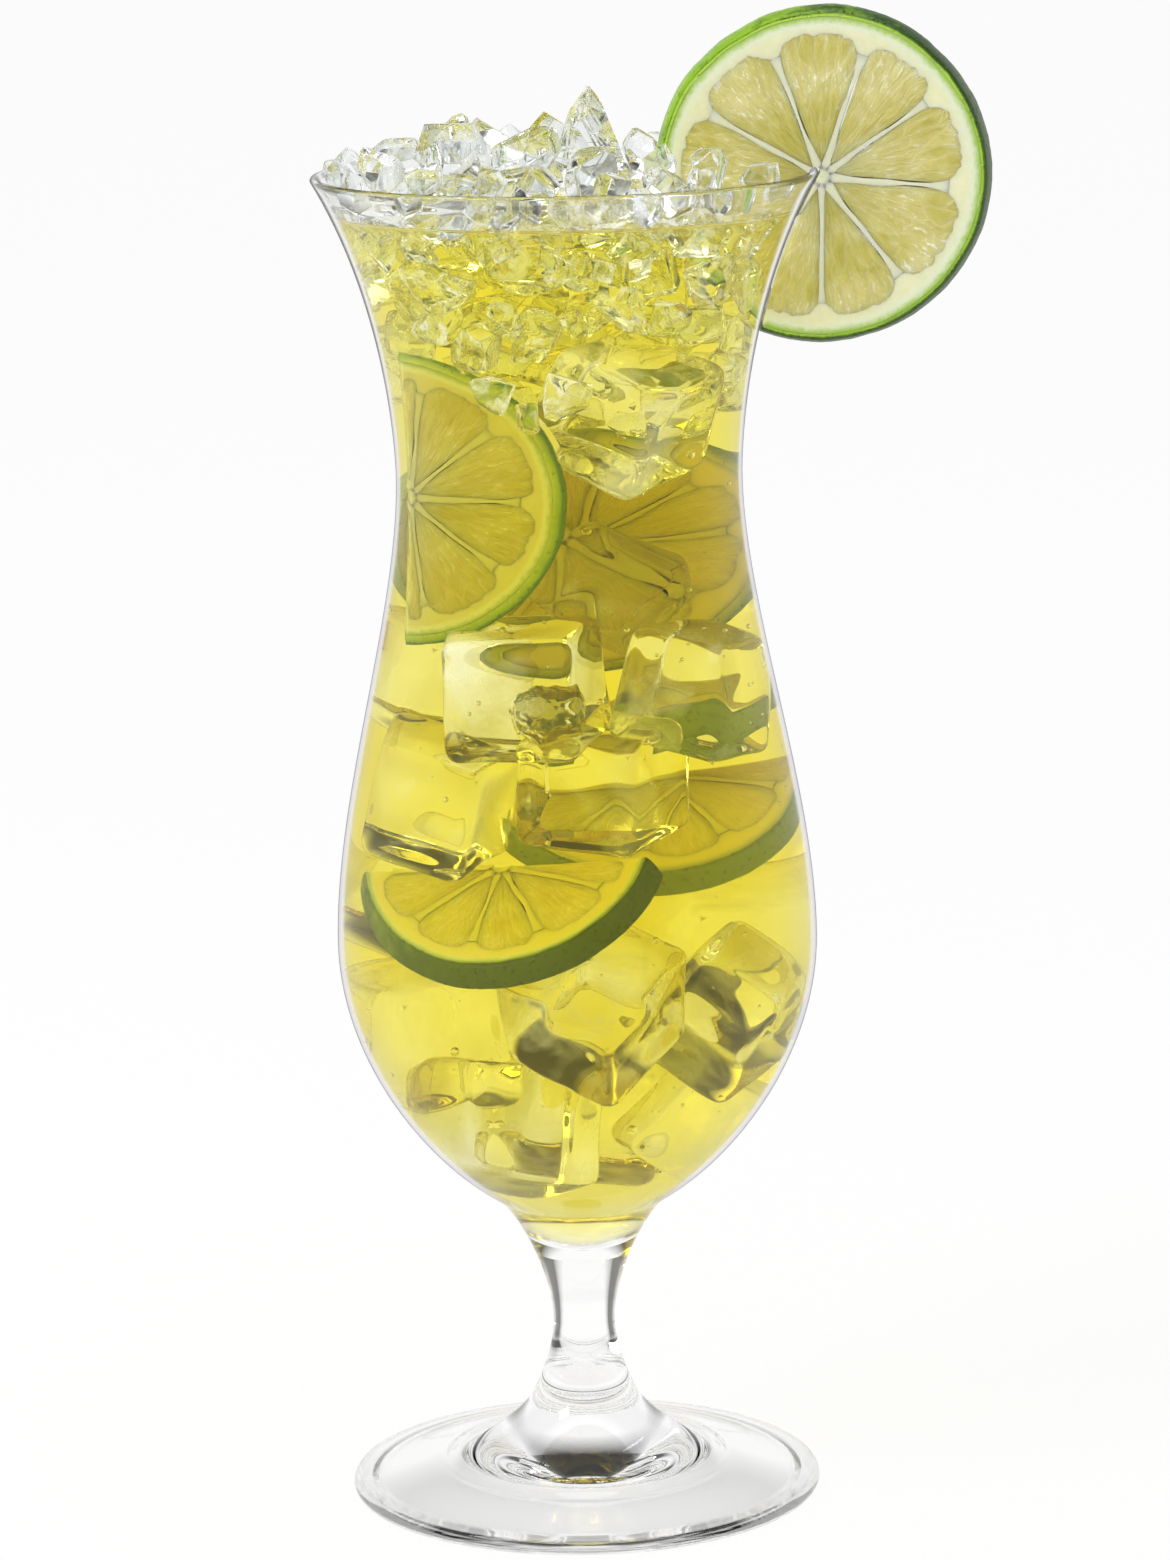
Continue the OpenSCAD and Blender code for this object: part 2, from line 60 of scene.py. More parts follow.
def linked(name, data):
    ob = bpy.data.objects.new(name, data)
    scene.collection.objects.link(ob)
    return ob


print("camera")
photoView = {
    "distance": 894.3 * mm,      # from the glass's axis to the lens, along Y
    "height": 291.7 * mm,
    "side": 1.6 * mm,
    "pitch": 11.29,              # degrees down
    "roll": 1.0,
    "focalPixels": 5909.3,
    "framePixels": 1560,         # long side of the photograph
    "sensor": 36.0,
    "far": 100,
}
lightPaths = {
    "max_bounces": 40, "transmission_bounces": 36, "glossy_bounces": 10, "diffuse_bounces": 3,
    "transparent_max_bounces": 64, "caustics_reflective": False, "caustics_refractive": False,
    "sample_clamp_indirect": 6,
}


def makeCamera(v):
    cam = bpy.data.cameras.new("photoCamera")
    cam.sensor_width = v["sensor"]
    cam.sensor_fit = "AUTO"
    cam.lens = v["focalPixels"] * v["sensor"] / v["framePixels"]
    cam.clip_end = v["far"]
    ob = linked("photoCamera", cam)
    ob.location = (v["side"], -v["distance"], v["height"])
    tilt = Euler((math.radians(90 - v["pitch"]), 0, 0)).to_matrix()
    turn = Euler((0, 0, math.radians(-v["roll"]))).to_matrix()
    ob.rotation_euler = (tilt @ turn).to_euler()
    scene.camera = ob


makeCamera(photoView)
scene.view_settings.view_transform = "Standard"
for key, value in lightPaths.items():
    setattr(scene.cycles, key, value)

print("node helpers")


# gives a socket a value, or links another socket to it
def feed(nt, value, socket):
    if isinstance(value, bpy.types.NodeSocket):
        nt.links.new(value, socket)
    elif socket.type == "RGBA" and isinstance(value, tuple):
        socket.default_value = (*value[:3], 1)
    else:
        socket.default_value = value


def feedAll(nt, node, values):
    for key, value in values.items():
        feed(nt, value, node.inputs[key])


# a node with its settings, and values for its inputs by name or number
def add(nt, kind, values=None, **settings):
    node = nt.nodes.new(kind)
    for key, value in settings.items():
        setattr(node, key, value)
    feedAll(nt, node, values or {})
    return node


def newMaterial(name, color):
    mat = bpy.data.materials.new(name)
    mat.use_nodes = True
    mat.diffuse_color = (*color, 1)
    nt = mat.node_tree
    nt.nodes.clear()
    bsdf = add(nt, "ShaderNodeBsdfPrincipled", {"Base Color": color})
    out = add(nt, "ShaderNodeOutputMaterial", {"Surface": bsdf.outputs[0]})
    return mat, nt, bsdf, out


def grey(v):
    return (v, v, v)


def ramp(nt, source, stops):
    node = add(nt, "ShaderNodeValToRGB", {"Fac": source})
    elements = node.color_ramp.elements
    while len(elements) < len(stops):
        elements.new(0.5)
    for element, (place, color) in zip(elements, stops):
        element.position = place
        element.color = (*color, 1)
    return node.outputs["Color"]


def math2(nt, op, a, b=0.0):
    return add(nt, "ShaderNodeMath", {0: a, 1: b}, operation=op).outputs[0]


def product(nt, a, b):
    return math2(nt, "MULTIPLY", a, b)


def noiseNode(nt, vector, scale, detail=3.0, rough=0.55, dims="3D"):
    return add(nt, "ShaderNodeTexNoise", {"Vector": vector, "Scale": scale, "Detail": detail, "Roughness": rough},
               noise_dimensions=dims).outputs[0]


def mixColor(nt, fac, a, b, blend="MIX"):
    return add(nt, "ShaderNodeMix", {0: fac, 6: a, 7: b}, data_type="RGBA", blend_type=blend).outputs[2]


def mixShaders(nt, fac, a, b):
    return add(nt, "ShaderNodeMixShader", {0: fac, 1: a, 2: b}).outputs[0]


# from 0 where a face is seen head on to 1 where it is seen edge on
def facing(nt):
    return add(nt, "ShaderNodeLayerWeight", {"Blend": 0.5}).outputs["Facing"]


# a shader node group; build gets its tree and inputs and returns what each output shows
def effectGroup(name, inputs, outputs, build):
    tree = bpy.data.node_groups.new(name, "ShaderNodeTree")
    for way, sockets in (("INPUT", inputs), ("OUTPUT", outputs)):
        for key, kind in sockets.items():
            tree.interface.new_socket(key, in_out=way, socket_type="NodeSocket" + kind)
    start = tree.nodes.new("NodeGroupInput")
    add(tree, "NodeGroupOutput", build(tree, start.outputs))
    return tree


def useEffect(nt, tree, values):
    return add(nt, "ShaderNodeGroup", values, node_tree=tree).outputs


def objectCoords(nt):
    return nt.nodes.new("ShaderNodeTexCoord").outputs["Object"]


def splitCoords(nt):
    return add(nt, "ShaderNodeSeparateXYZ", {0: objectCoords(nt)}).outputs


def attributeValue(nt, name):
    return add(nt, "ShaderNodeAttribute", attribute_name=name).outputs["Fac"]


def buildHeightMask(nt, given):
    return {"Mask": add(nt, "ShaderNodeMapRange", {
        "Value": splitCoords(nt)["Z"], "From Min": given["Low"], "From Max": given["High"]}).outputs[0]}


heightEffect = effectGroup("heightMask", {"Low": "Float", "High": "Float"}, {"Mask": "Float"}, buildHeightMask)


# 0 below the first height, 1 above the second, in millimetres
def heightMask(nt, low, high):
    return useEffect(nt, heightEffect, {"Low": low * mm, "High": high * mm})["Mask"]


# the shader, but clear to shadow and diffuse rays, so that light reaches what lies inside
def letLampsThrough(nt, bsdf, out, tint, alsoClear=None):
    path = nt.nodes.new("ShaderNodeLightPath").outputs
    straight = math2(nt, "MAXIMUM", path["Is Shadow Ray"], path["Is Diffuse Ray"])
    if alsoClear is not None:
        straight = math2(nt, "MAXIMUM", straight, alsoClear)
    clear = add(nt, "ShaderNodeBsdfTransparent", {"Color": tint}).outputs[0]
    shader = mixShaders(nt, straight, bsdf.outputs[0], clear)
    feed(nt, shader, out.inputs["Surface"])
    return shader


print("studio")
studio = {
    "ambient": 0.82,             # what the sky gives to plain surfaces
    "zenith": 0.02,              # how dark the top of the studio looks in glass
    "zenithDeep": 0.11,          # the same after many faces, inside the drink
    "deepFrom": 4, "deepTo": 7,  # how many faces those are
    "zenithFrom": 0.28,          # sine of the height where it begins to darken
    "zenithTo": 0.46,
    "overheadFrom": 0.80,        # where the lamp over the table begins
    "overheadTo": 0.90,
    "overhead": 2.2,
    "keyPower": 7.0,
    "keySize": 0.5,
    "keyPlace": (-0.75, -0.55, 0.95),
    "keyAim": (0, 0, 0.15),
    "floor": 0.93,
    "floorGlow": 0.85,           # share of plain white in what the camera sees of the floor
    "floorSize": 14.0,
}


def makeSky(v):
    world = bpy.data.worlds.new("paleStudio")
    scene.world = world
    world.use_nodes = True
    nt = world.node_tree
    nt.nodes.clear()
    coord = nt.nodes.new("ShaderNodeTexCoord").outputs["Generated"]
    height = add(nt, "ShaderNodeSeparateXYZ", {0: coord}).outputs["Z"]
    path = nt.nodes.new("ShaderNodeLightPath").outputs
    deep = ramp(nt, math2(nt, "DIVIDE", path["Ray Depth"], 10.0),
                [(v["deepFrom"] / 10, grey(0)), (v["deepTo"] / 10, grey(1))])
    zenith = mixColor(nt, deep, grey(v["zenith"]), grey(v["zenithDeep"]))
    seen = mixColor(nt, ramp(nt, height, [(v["zenithFrom"], grey(0)), (v["zenithTo"], grey(1))]), grey(1.0), zenith)
    above = ramp(nt, height, [(v["overheadFrom"], grey(0)), (v["overheadTo"], grey(1))])
    bright = add(nt, "ShaderNodeVectorMath", {0: above, 1: grey(v["overhead"]), 2: seen}, operation="MULTIPLY_ADD")
    plain, mirrored, white = (add(nt, "ShaderNodeBackground", values).outputs[0] for values in (
        {"Color": grey(1), "Strength": v["ambient"]}, {"Color": bright.outputs[0]}, {"Color": grey(1)}))
    inGlass = math2(nt, "MAXIMUM", path["Is Transmission Ray"], path["Is Glossy Ray"])
    sky = mixShaders(nt, path["Is Camera Ray"], mixShaders(nt, inGlass, plain, mirrored), white)
    add(nt, "ShaderNodeOutputWorld", {"Surface": sky})


def makeFloorAndLamp(v):
    lamp = bpy.data.lights.new("keyLamp", "AREA")
    lamp.energy = v["keyPower"]
    lamp.size = v["keySize"]
    ob = linked("keyLamp", lamp)
    ob.location = v["keyPlace"]
    aim = Vector(v["keyAim"]) - ob.location
    ob.rotation_euler = aim.to_track_quat("-Z", "Y").to_euler()

    s = v["floorSize"] / 2
    mesh = bpy.data.meshes.new("paleFloor")
    mesh.from_pydata([(-s, -s, 0), (s, -s, 0), (s, s, 0), (-s, s, 0)], [], [(0, 1, 2, 3)])
    mat, nt, bsdf, out = newMaterial("palePaper", grey(v["floor"]))
    feedAll(nt, bsdf, {"Roughness": 1.0, "Specular IOR Level": 0.0})
    path = nt.nodes.new("ShaderNodeLightPath").outputs
    seen = math2(nt, "MAXIMUM", path["Is Camera Ray"], path["Is Transmission Ray"])
    glow = nt.nodes.new("ShaderNodeEmission").outputs[0]
    feed(nt, mixShaders(nt, product(nt, seen, v["floorGlow"]), bsdf.outputs[0], glow), out.inputs["Surface"])
    mesh.materials.append(mat)
    linked("paleFloor", mesh)


makeSky(studio)
makeFloorAndLamp(studio)

print("clear materials")
glassLook = {
    "ior": 1.50, "shine": 0.4,
    # edge and bowlEdge paint the glass darker where it is seen edge on, a painted shade for the room's dark
    "edge": 0.55, "edgeFrom": 0.80,              # the foot is this dark where it is seen edge on
    "bowlEdge": 0.60, "bowlEdgeFrom": 0.45,
    "wetShine": 0.05, "through": grey(0.98),     # what a wall lets through
    "leak": 0.92, "leakFrom": (46.0, 52.0),      # share of the trapped light let out, above these heights
    "bandFrom": [(0.76, grey(0)), (0.82, grey(0.85))],
    # bandTint and topTint paint the clear band's edge dark, a painted shade for the dark of the room
    "bandTint": [(0.5, grey(0.98)), (0.76, grey(0.98)), (0.90, (0.86, 0.85, 0.88)), (0.97, (0.36, 0.36, 0.40))],
    "topTint": [(0.84, grey(0.96)), (0.90, grey(0.46)), (1.0, (0.30, 0.30, 0.28))],
    "topFrom": (162.0, 184.0),                   # the band's edge is a dark line above these heights
    "footTint": 0.955, "footRim": (33.8, 35.2), "footRimClear": 0.45,
    "rimFrom": (206.0, 206.2),
    "rimLine": [(0.40, grey(1)), (0.58, grey(0.10)), (0.86, grey(0.10)), (1.0, grey(0.7))],
    "stemFrom": (20.0, 25.0),                    # the lines fade out between these heights
    "stemLine": [(0.30, grey(1)), (0.42, grey(0.04)), (0.60, grey(0.04)), (0.80, grey(0.6))],
    "footShade": [(0.27, grey(0.02)), (0.48, grey(1))],
}
drinkLook = {"ior": 1.34, "absorb": 80.0, "color": (0.972, 0.930, 0.20), "shine": 0.1}
iceLook = {
    "iorInDrink": 1.18, "iorOfChips": 1.20, "iorInAir": 1.34,
    # the edge values paint the ice darker where it is seen edge on, a painted shade
    "edgeInDrink": 0.42, "edgeInDrinkFrom": 0.55, "edgeFrom": 0.50,
    # contour and shadowed are painted shade on the cubes
    "contour": (0.24, 0.22, 0.07), "contourFrom": [(0.62, grey(0)), (0.92, grey(1))],
    "patchScale": 150.0, "patches": [(0.38, grey(0.15)), (0.60, grey(0.95))],
    "shadowed": (0.80, 0.77, 0.50), "shadowScale": 62.0, "shadows": [(0.46, grey(0)), (0.62, grey(1))],
    "cloudAndGlintScale": 70.0, "cloudAndGlintInCubes": 0.30,
    "chipTint": (0.93, 0.94, 0.84), "chipEdge": 0.14, "dryTint": (0.87, 0.89, 0.89), "dryEdge": 0.36,
    # white patches of cracks and bubbles, partly a painted highlight
    "frostAndGlintScale": 420.0, "frostAndGlintInDrink": 0.45, "frostAndGlintInAir": 0.34, "frost": (0.95, 0.97, 0.97),
}


# clear glass or ice, painted a little darker where it is seen edge on: a painted shade for the dark
# of the room that bends in there
def clearMaterial(name, ior, tint=(1, 1, 1), edge=None, edgeFrom=0.8, through=(1, 1, 1), shine=1.0, leak=0.0):
    mat, nt, bsdf, out = newMaterial(name, tint)
    feedAll(nt, bsdf, {"Transmission Weight": 1.0, "Roughness": 0.0, "IOR": ior, "Specular Tint": grey(shine)})
    slant = facing(nt)
    if edge is not None:
        feed(nt, ramp(nt, slant, [(edgeFrom, tint), (1.0, tuple(edge * c for c in tint))]), bsdf.inputs["Base Color"])
    trapped = None
    if leak:
        # light that would be caught inside the wall goes straight out, as most of it does in the end,
        # but not at the thick base; where the wall is seen edge on it shows as a clear band with a painted dark edge,
        # a painted shade
        steep = ramp(nt, slant, [(0.05, grey(0)), (0.15, grey(leak))])
        inside = nt.nodes.new("ShaderNodeNewGeometry").outputs["Backfacing"]
        above = heightMask(nt, *glassLook["leakFrom"])
        band = product(nt, ramp(nt, slant, glassLook["bandFrom"]), above)
        trapped = math2(nt, "MAXIMUM", product(nt, product(nt, steep, inside), above), band)
        through = mixColor(nt, heightMask(nt, *glassLook["topFrom"]), ramp(nt, slant, glassLook["bandTint"]),
                           ramp(nt, slant, glassLook["topTint"]))
    letLampsThrough(nt, bsdf, out, through, trapped)
    return mat, nt, bsdf, out


# solid round glass bends in the dark of the room at its sides: painted dark lines stand in for it, above a height
# only
def addLines(nt, bsdf, heights, stops):
    socket = bsdf.inputs["Base Color"]
    plain = socket.links[0].from_socket if socket.links else tuple(socket.default_value)
    feed(nt, mixColor(nt, heightMask(nt, *heights), plain, ramp(nt, facing(nt), stops)), socket)


def bowlMaterials(v):
    edge = {"edge": v["bowlEdge"], "edgeFrom": v["bowlEdgeFrom"], "through": v["through"]}
    wet = clearMaterial("wetGlass", v["ior"], shine=v["wetShine"], **edge)[0]
    mat, nt, bsdf, out = clearMaterial("clearGlass", v["ior"], shine=v["shine"], leak=v["leak"], **edge)
    addLines(nt, bsdf, v["rimFrom"], v["rimLine"])
    return mat, wet


def stemMaterial(v):
    mat, nt, bsdf, out = clearMaterial("stemGlass", v["ior"], through=v["through"])
    addLines(nt, bsdf, v["stemFrom"], v["stemLine"])
    return mat


# the foot's rim bends less than the model's would
def footMaterial(v):
    mat, nt, bsdf, out = clearMaterial("footGlass", v["ior"], tint=grey(v["footTint"]), edge=v["edge"],
                                       edgeFrom=v["edgeFrom"])
    coords = splitCoords(nt)
    reach = math2(nt, "SQRT", math2(nt, "ADD", *(product(nt, coords[axis], coords[axis]) for axis in "XY")))
    rim = add(nt, "ShaderNodeMapRange", {"Value": reach, "From Min": v["footRim"][0] * mm,
                                         "From Max": v["footRim"][1] * mm, "To Max": v["footRimClear"]})
    letLampsThrough(nt, bsdf, out, grey(0.95), rim.outputs[0])
    return mat


# the faces where bowl, stem and foot are fused: nothing shows there, but the foot's is painted dark
# where it is seen head on, a painted shade for the dim light that comes straight down the stem
def fusedMaterial(name, shade=None):
    mat, nt, bsdf, out = newMaterial(name, grey(1.0))
    tint = ramp(nt, facing(nt), shade) if shade else grey(1.0)
    feed(nt, add(nt, "ShaderNodeBsdfTransparent", {"Color": tint}).outputs[0], out.inputs["Surface"])
    nt.nodes.remove(bsdf)
    return mat


def drinkMaterial(v):
    mat, nt, bsdf, out = newMaterial("limeDrink", grey(1.0))
    feedAll(nt, bsdf, {"Transmission Weight": 1.0, "Roughness": 0.0, "IOR": v["ior"],
                       "Specular Tint": grey(v["shine"])})
    solid = letLampsThrough(nt, bsdf, out, grey(1.0))
    clear = nt.nodes.new("ShaderNodeBsdfTransparent").outputs[0]
    absorb = add(nt, "ShaderNodeVolumeAbsorption", {"Color": v["color"], "Density": v["absorb"]})
    feedAll(nt, out, {"Surface": mixShaders(nt, attributeValue(nt, "cavity"), solid, clear),
                      "Volume": absorb.outputs[0]})
    return mat


glassMat, wetGlassMat = bowlMaterials(glassLook)
stemGlassMat = stemMaterial(glassLook)
footGlassMat = footMaterial(glassLook)
fusedMat = fusedMaterial("fusedFace")
footFusedMat = fusedMaterial("fusedFootFace", glassLook["footShade"])
drinkMat = drinkMaterial(drinkLook)


def buildFrostAndGlint(nt, given):
    cloud = add(nt, "ShaderNodeTexNoise", {"Vector": objectCoords(nt), "Scale": given["Scale"], "Detail": 4.0,
                                           "Distortion": 0.6}).outputs[0]
    return {"Mask": product(nt, ramp(nt, cloud, [(0.54, grey(0)), (0.68, grey(1))]), given["Amount"])}


frostAndGlintEffect = effectGroup("frost", {"Scale": "Float", "Amount": "Float"}, {"Mask": "Float"}, buildFrostAndGlint)


# white patches where cracks and air bubbles fill the ice; they also stand in for its bright glints, partly a painted
# highlight
def addFrostAndGlint(nt, out, scale, amount):
    mask = useEffect(nt, frostAndGlintEffect, {"Scale": scale, "Amount": amount})["Mask"]
    white = add(nt, "ShaderNodeBsdfDiffuse", {"Color": iceLook["frost"]}).outputs[0]
    socket = out.inputs["Surface"]
    feed(nt, mixShaders(nt, mask, socket.links[0].from_socket, white), socket)


def brokenIce(name, ior, tint, edge, frost, v):
    mat, nt, bsdf, out = clearMaterial(name, ior, tint=tint, edge=edge, edgeFrom=v["edgeFrom"])
    addFrostAndGlint(nt, out, v["frostAndGlintScale"], frost)
    return mat


# a cube's round edges are painted dark, a painted shade for the dark bent in there: an uneven
# contour, and some of its sides are painted in shadow
def cubeMaterial(v):
    mat, nt, bsdf, out = clearMaterial("iceInDrink", v["iorInDrink"], edge=v["edgeInDrink"],
                                       edgeFrom=v["edgeInDrinkFrom"])
    patch = noiseNode(nt, objectCoords(nt), v["patchScale"], 2.0)
    mask = product(nt, ramp(nt, attributeValue(nt, "contour"), v["contourFrom"]), ramp(nt, patch, v["patches"]))
    shadedPatches = noiseNode(nt, objectCoords(nt), v["shadowScale"], 1.0)
    socket = bsdf.inputs["Base Color"]
    body = mixColor(nt, ramp(nt, shadedPatches, v["shadows"]), socket.links[0].from_socket, v["shadowed"], "MULTIPLY")
    feed(nt, mixColor(nt, mask, body, v["contour"]), socket)
    # white clouds in the cube: cracks and bubbles, partly a painted highlight
    addFrostAndGlint(nt, out, v["cloudAndGlintScale"], v["cloudAndGlintInCubes"])
    return mat


wetIceMat = cubeMaterial(iceLook)
wetChipMat = brokenIce("brokenIceInDrink", iceLook["iorOfChips"], iceLook["chipTint"], iceLook["chipEdge"],
                       iceLook["frostAndGlintInDrink"], iceLook)
dryIceMat = brokenIce("iceInAir", iceLook["iorInAir"], iceLook["dryTint"], iceLook["dryEdge"],
                      iceLook["frostAndGlintInAir"], iceLook)

print("glass")
glassSizes = {
    "height": 207.0, "rimRadius": 38.45, "rimWall": 1.2, "wall": 1.6,
    "waistZ": 161.0, "waistRadius": 26.46, "bellyZ": 88.5, "bellyRadius": 37.13,
    "baseZ": 47.3, "baseRadius": 13.5, "floorZ": 40.3, "headspace": 5.5,
    "bowlJointZ": 38.3, "stemZ": 26.8, "stemRadius": 4.8,
    "footJointZ": 13.9, "footJointRadius": 8.9, "footRadius": 36.7, "footEdge": 2.8,
    "ringWidth": 1.8, "puntRadius": 20.0, "puntHeight": 4.4, "footWall": 2.5,
    "steps": 36,                 # points in each stretch of the outline
    "around": 192,
    # the outline's lean at rim and base, and how far each curve keeps its direction at its two
    # ends, as shares of its height
    "rimLean": 0.578, "baseLean": 0.62,
    "top": (0.498, 0.067), "middle": (0.29, 0.319), "lower": (0.427, 0.337), "neck": (0.165, 0.398),
}


def bezier(a, b, c, d, n):
    a, b, c, d = (Vector(p) for p in (a, b, c, d))
    points = []
    for i in range(n):
        t = i / n
        u = 1 - t
        points.append(u ** 3 * a + 3 * u * u * t * b + 3 * u * t * t * c + t ** 3 * d)
    return points


# points on a circle in the plane of radius and height, for angles in degrees
def arcPoints(x, y, r, degrees):
    return [Vector((x + r * math.cos(math.radians(d)), y + r * math.sin(math.radians(d)))) for d in degrees]


# the same outline as the CAD glass, in finer steps: the outer and the inner line, from the rim down
def glassOutline(g):
    n = g["steps"]
    rim = Vector((g["rimRadius"] - g["rimWall"] / 2, g["height"] - g["rimWall"] / 2))
    start = Vector((g["rimRadius"], rim.y))
    waist, belly, base, thin = (Vector((g[key + "Radius"], g[key + "Z"]))
                                for key in ("waist", "belly", "base", "stem"))
    lean = Vector((g["rimLean"], 1)).normalized()
    spread = Vector((1, g["baseLean"])).normalized()
    up = Vector((0, 1))
    fall = [a.y - b.y for a, b in ((start, waist), (waist, belly), (belly, base), (base, thin))]
    top = bezier(start, start - fall[0] * g["top"][0] * lean, waist + up * fall[0] * g["top"][1], waist, n)
    middle = bezier(waist, waist - up * fall[1] * g["middle"][0], belly + up * fall[1] * g["middle"][1], belly, n)
    lower = bezier(belly, belly - up * fall[2] * g["lower"][0], base + fall[2] * g["lower"][1] * spread, base, n)
    neck = bezier(base, base - fall[3] * g["neck"][0] * spread, thin + up * fall[3] * g["neck"][1], thin, n)
    shell = top + middle + lower
    inner = [Vector((g["rimRadius"] - g["rimWall"], rim.y))]
    for i in range(1, len(shell)):
        along = (shell[min(i + 1, len(shell) - 1)] - shell[i - 1]).normalized()
        blend = min(1, (rim.y - shell[i].y) / g["waistRadius"])
        wall = g["rimWall"] + (g["wall"] - g["rimWall"]) * blend
        inner.append(shell[i] + wall * Vector((along.y, -along.x)))
    last = inner[-1]
    drop = last.y - g["floorZ"]
    floor = bezier(last, last - drop / 2 * spread, (last.x / 2, g["floorZ"]), (0, g["floorZ"]), n)
    inner += floor[1:] + [Vector((0, g["floorZ"]))]
    return shell + neck, inner, rim


outerLine, innerLine, rimCentre = glassOutline(glassSizes)
drinkTop = glassSizes["height"] - glassSizes["headspace"]


# radius of a falling line at a height, in millimetres
def lineRadius(line, z):
    for a, b in zip(line, line[1:]):
        if a.y >= z >= b.y:
            t = (a.y - z) / max(a.y - b.y, 1e-9)
            return a.x + (b.x - a.x) * t
    return line[-1].x


def innerRadius(z):
    return lineRadius(innerLine, min(z, innerLine[0].y))


def fixNormals(mesh):
    bm = bmesh.new()
    bm.from_mesh(mesh)
    bmesh.ops.recalc_face_normals(bm, faces=bm.faces)
    bm.to_mesh(mesh)
    bm.free()


def smooth(mesh, angle):
    mesh.polygons.foreach_set("use_smooth", [True] * len(mesh.polygons))
    mesh.set_sharp_from_angle(angle=math.radians(angle))


def meshObject(name, points, faces):
    mesh = bpy.data.meshes.new(name)
    mesh.from_pydata([tuple(p * mm) for p in points], [], faces)
    return linked(name, mesh)


# a mesh from a bmesh, which isn't used again
def newMesh(name, bm):
    mesh = bpy.data.meshes.new(name)
    bm.to_mesh(mesh)
    bm.free()
    return mesh


def dress(ob, body, slot, materials, *nodes):
    for mat in materials:
        ob.data.materials.append(mat)
    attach(ob, body)
    if nodes:
        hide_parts(*nodes)


# a closed turned body from a line of (radius, height) in millimetres, from axis to axis
def revolve(name, line, around, kindOf=None):
    verts, rings, faces, kinds = [], [], [], []
    for p in line:
        if p.x < 1e-6:
            rings.append([len(verts)])
            verts.append((0, 0, p.y * mm))
            continue
        rings.append(list(range(len(verts), len(verts) + around)))
        for k in range(around):
            a = 2 * math.pi * k / around
            verts.append((p.x * math.cos(a) * mm, p.x * math.sin(a) * mm, p.y * mm))
    for i, (lo, hi) in enumerate(zip(rings, rings[1:])):
        if len(lo) == 1 and len(hi) == 1:
            continue
        for k in range(around):
            q = (k + 1) % around
            if len(lo) == 1:
                faces.append((lo[0], hi[q], hi[k]))
            elif len(hi) == 1:
                faces.append((lo[k], lo[q], hi[0]))
            else:
                faces.append((lo[k], lo[q], hi[q], hi[k]))
            kinds.append(kindOf(line[i], line[i + 1]) if kindOf else 0)
    mesh = bpy.data.meshes.new(name)
    mesh.from_pydata(verts, [], faces)
    ob = linked(name, mesh)
    mesh.polygons.foreach_set("material_index", kinds)
    fixNormals(mesh)
    smooth(mesh, 50)
    return ob


def bowlOutline(g, joint):
    lip = [rimCentre + g["rimWall"] / 2 * Vector((math.cos(math.radians(d)), math.sin(math.radians(d))))
           for d in range(15, 180, 15)]
    return ([Vector((0, joint.y)), joint] + [p for p in reversed(outerLine) if p.y > joint.y] + lip + innerLine)


def stemOutline(g, joint, foot):
    drop, widen = g["stemZ"] - g["footJointZ"], g["footJointRadius"] - g["stemRadius"]
    stem = bezier((g["stemRadius"], g["stemZ"]), (g["stemRadius"], g["stemZ"] - drop * 0.34),
                  (g["footJointRadius"] - widen * 0.34, g["footJointZ"] + drop * 0.18), foot, g["steps"])
    return ([Vector((0, joint.y)), joint] + [p for p in outerLine[-g["steps"]:] if p.y < joint.y] + stem
            + [foot, Vector((0, foot.y))])


def footOutline(g, boss):
    flare = Vector((g["footRadius"] * 0.6, g["footEdge"] * 2))
    span = flare - boss
    curve = bezier(boss, boss + Vector((span.x * 0.15, span.y * 0.3)),
                   boss + Vector((span.x * 0.43, span.y * 0.71)), flare, g["steps"])
    edge = g["footEdge"] / 2
    ringOut = g["footRadius"] - edge
    ringIn = ringOut - g["ringWidth"]
    tail = bezier(flare, flare + span * 0.10 + Vector((3.0, 0.35)), (ringOut - 4, g["footEdge"] * 1.1),
                  (ringOut, g["footEdge"]), g["steps"] // 2)
    # the underside runs along the top at an even thickness, so the disc looks clear
    upper = sorted((p.x, p.y) for p in curve + tail)
    under = [Vector((ringOut, 0)), Vector((ringIn, 0))]
    start = ringIn - 0.9
    for k in range(25):
        r = start + (g["puntRadius"] - start) * k / 24
        z = float(np.interp(r, [p[0] for p in upper], [p[1] for p in upper])) - g["footWall"]
        under.append(Vector((r, max(0.25, z))))
    last = under[-1]
    slope = (under[-1] - under[-3]).normalized()
    punt = bezier(last, last + slope * 3, (g["puntRadius"] * 0.5, g["puntHeight"]), (0, g["puntHeight"]), g["steps"])
    return ([Vector((0, boss.y))] + curve + tail + arcPoints(ringOut, edge, edge, range(90, -80, -10))
            + under + punt[1:] + [Vector((0, g["puntHeight"]))])


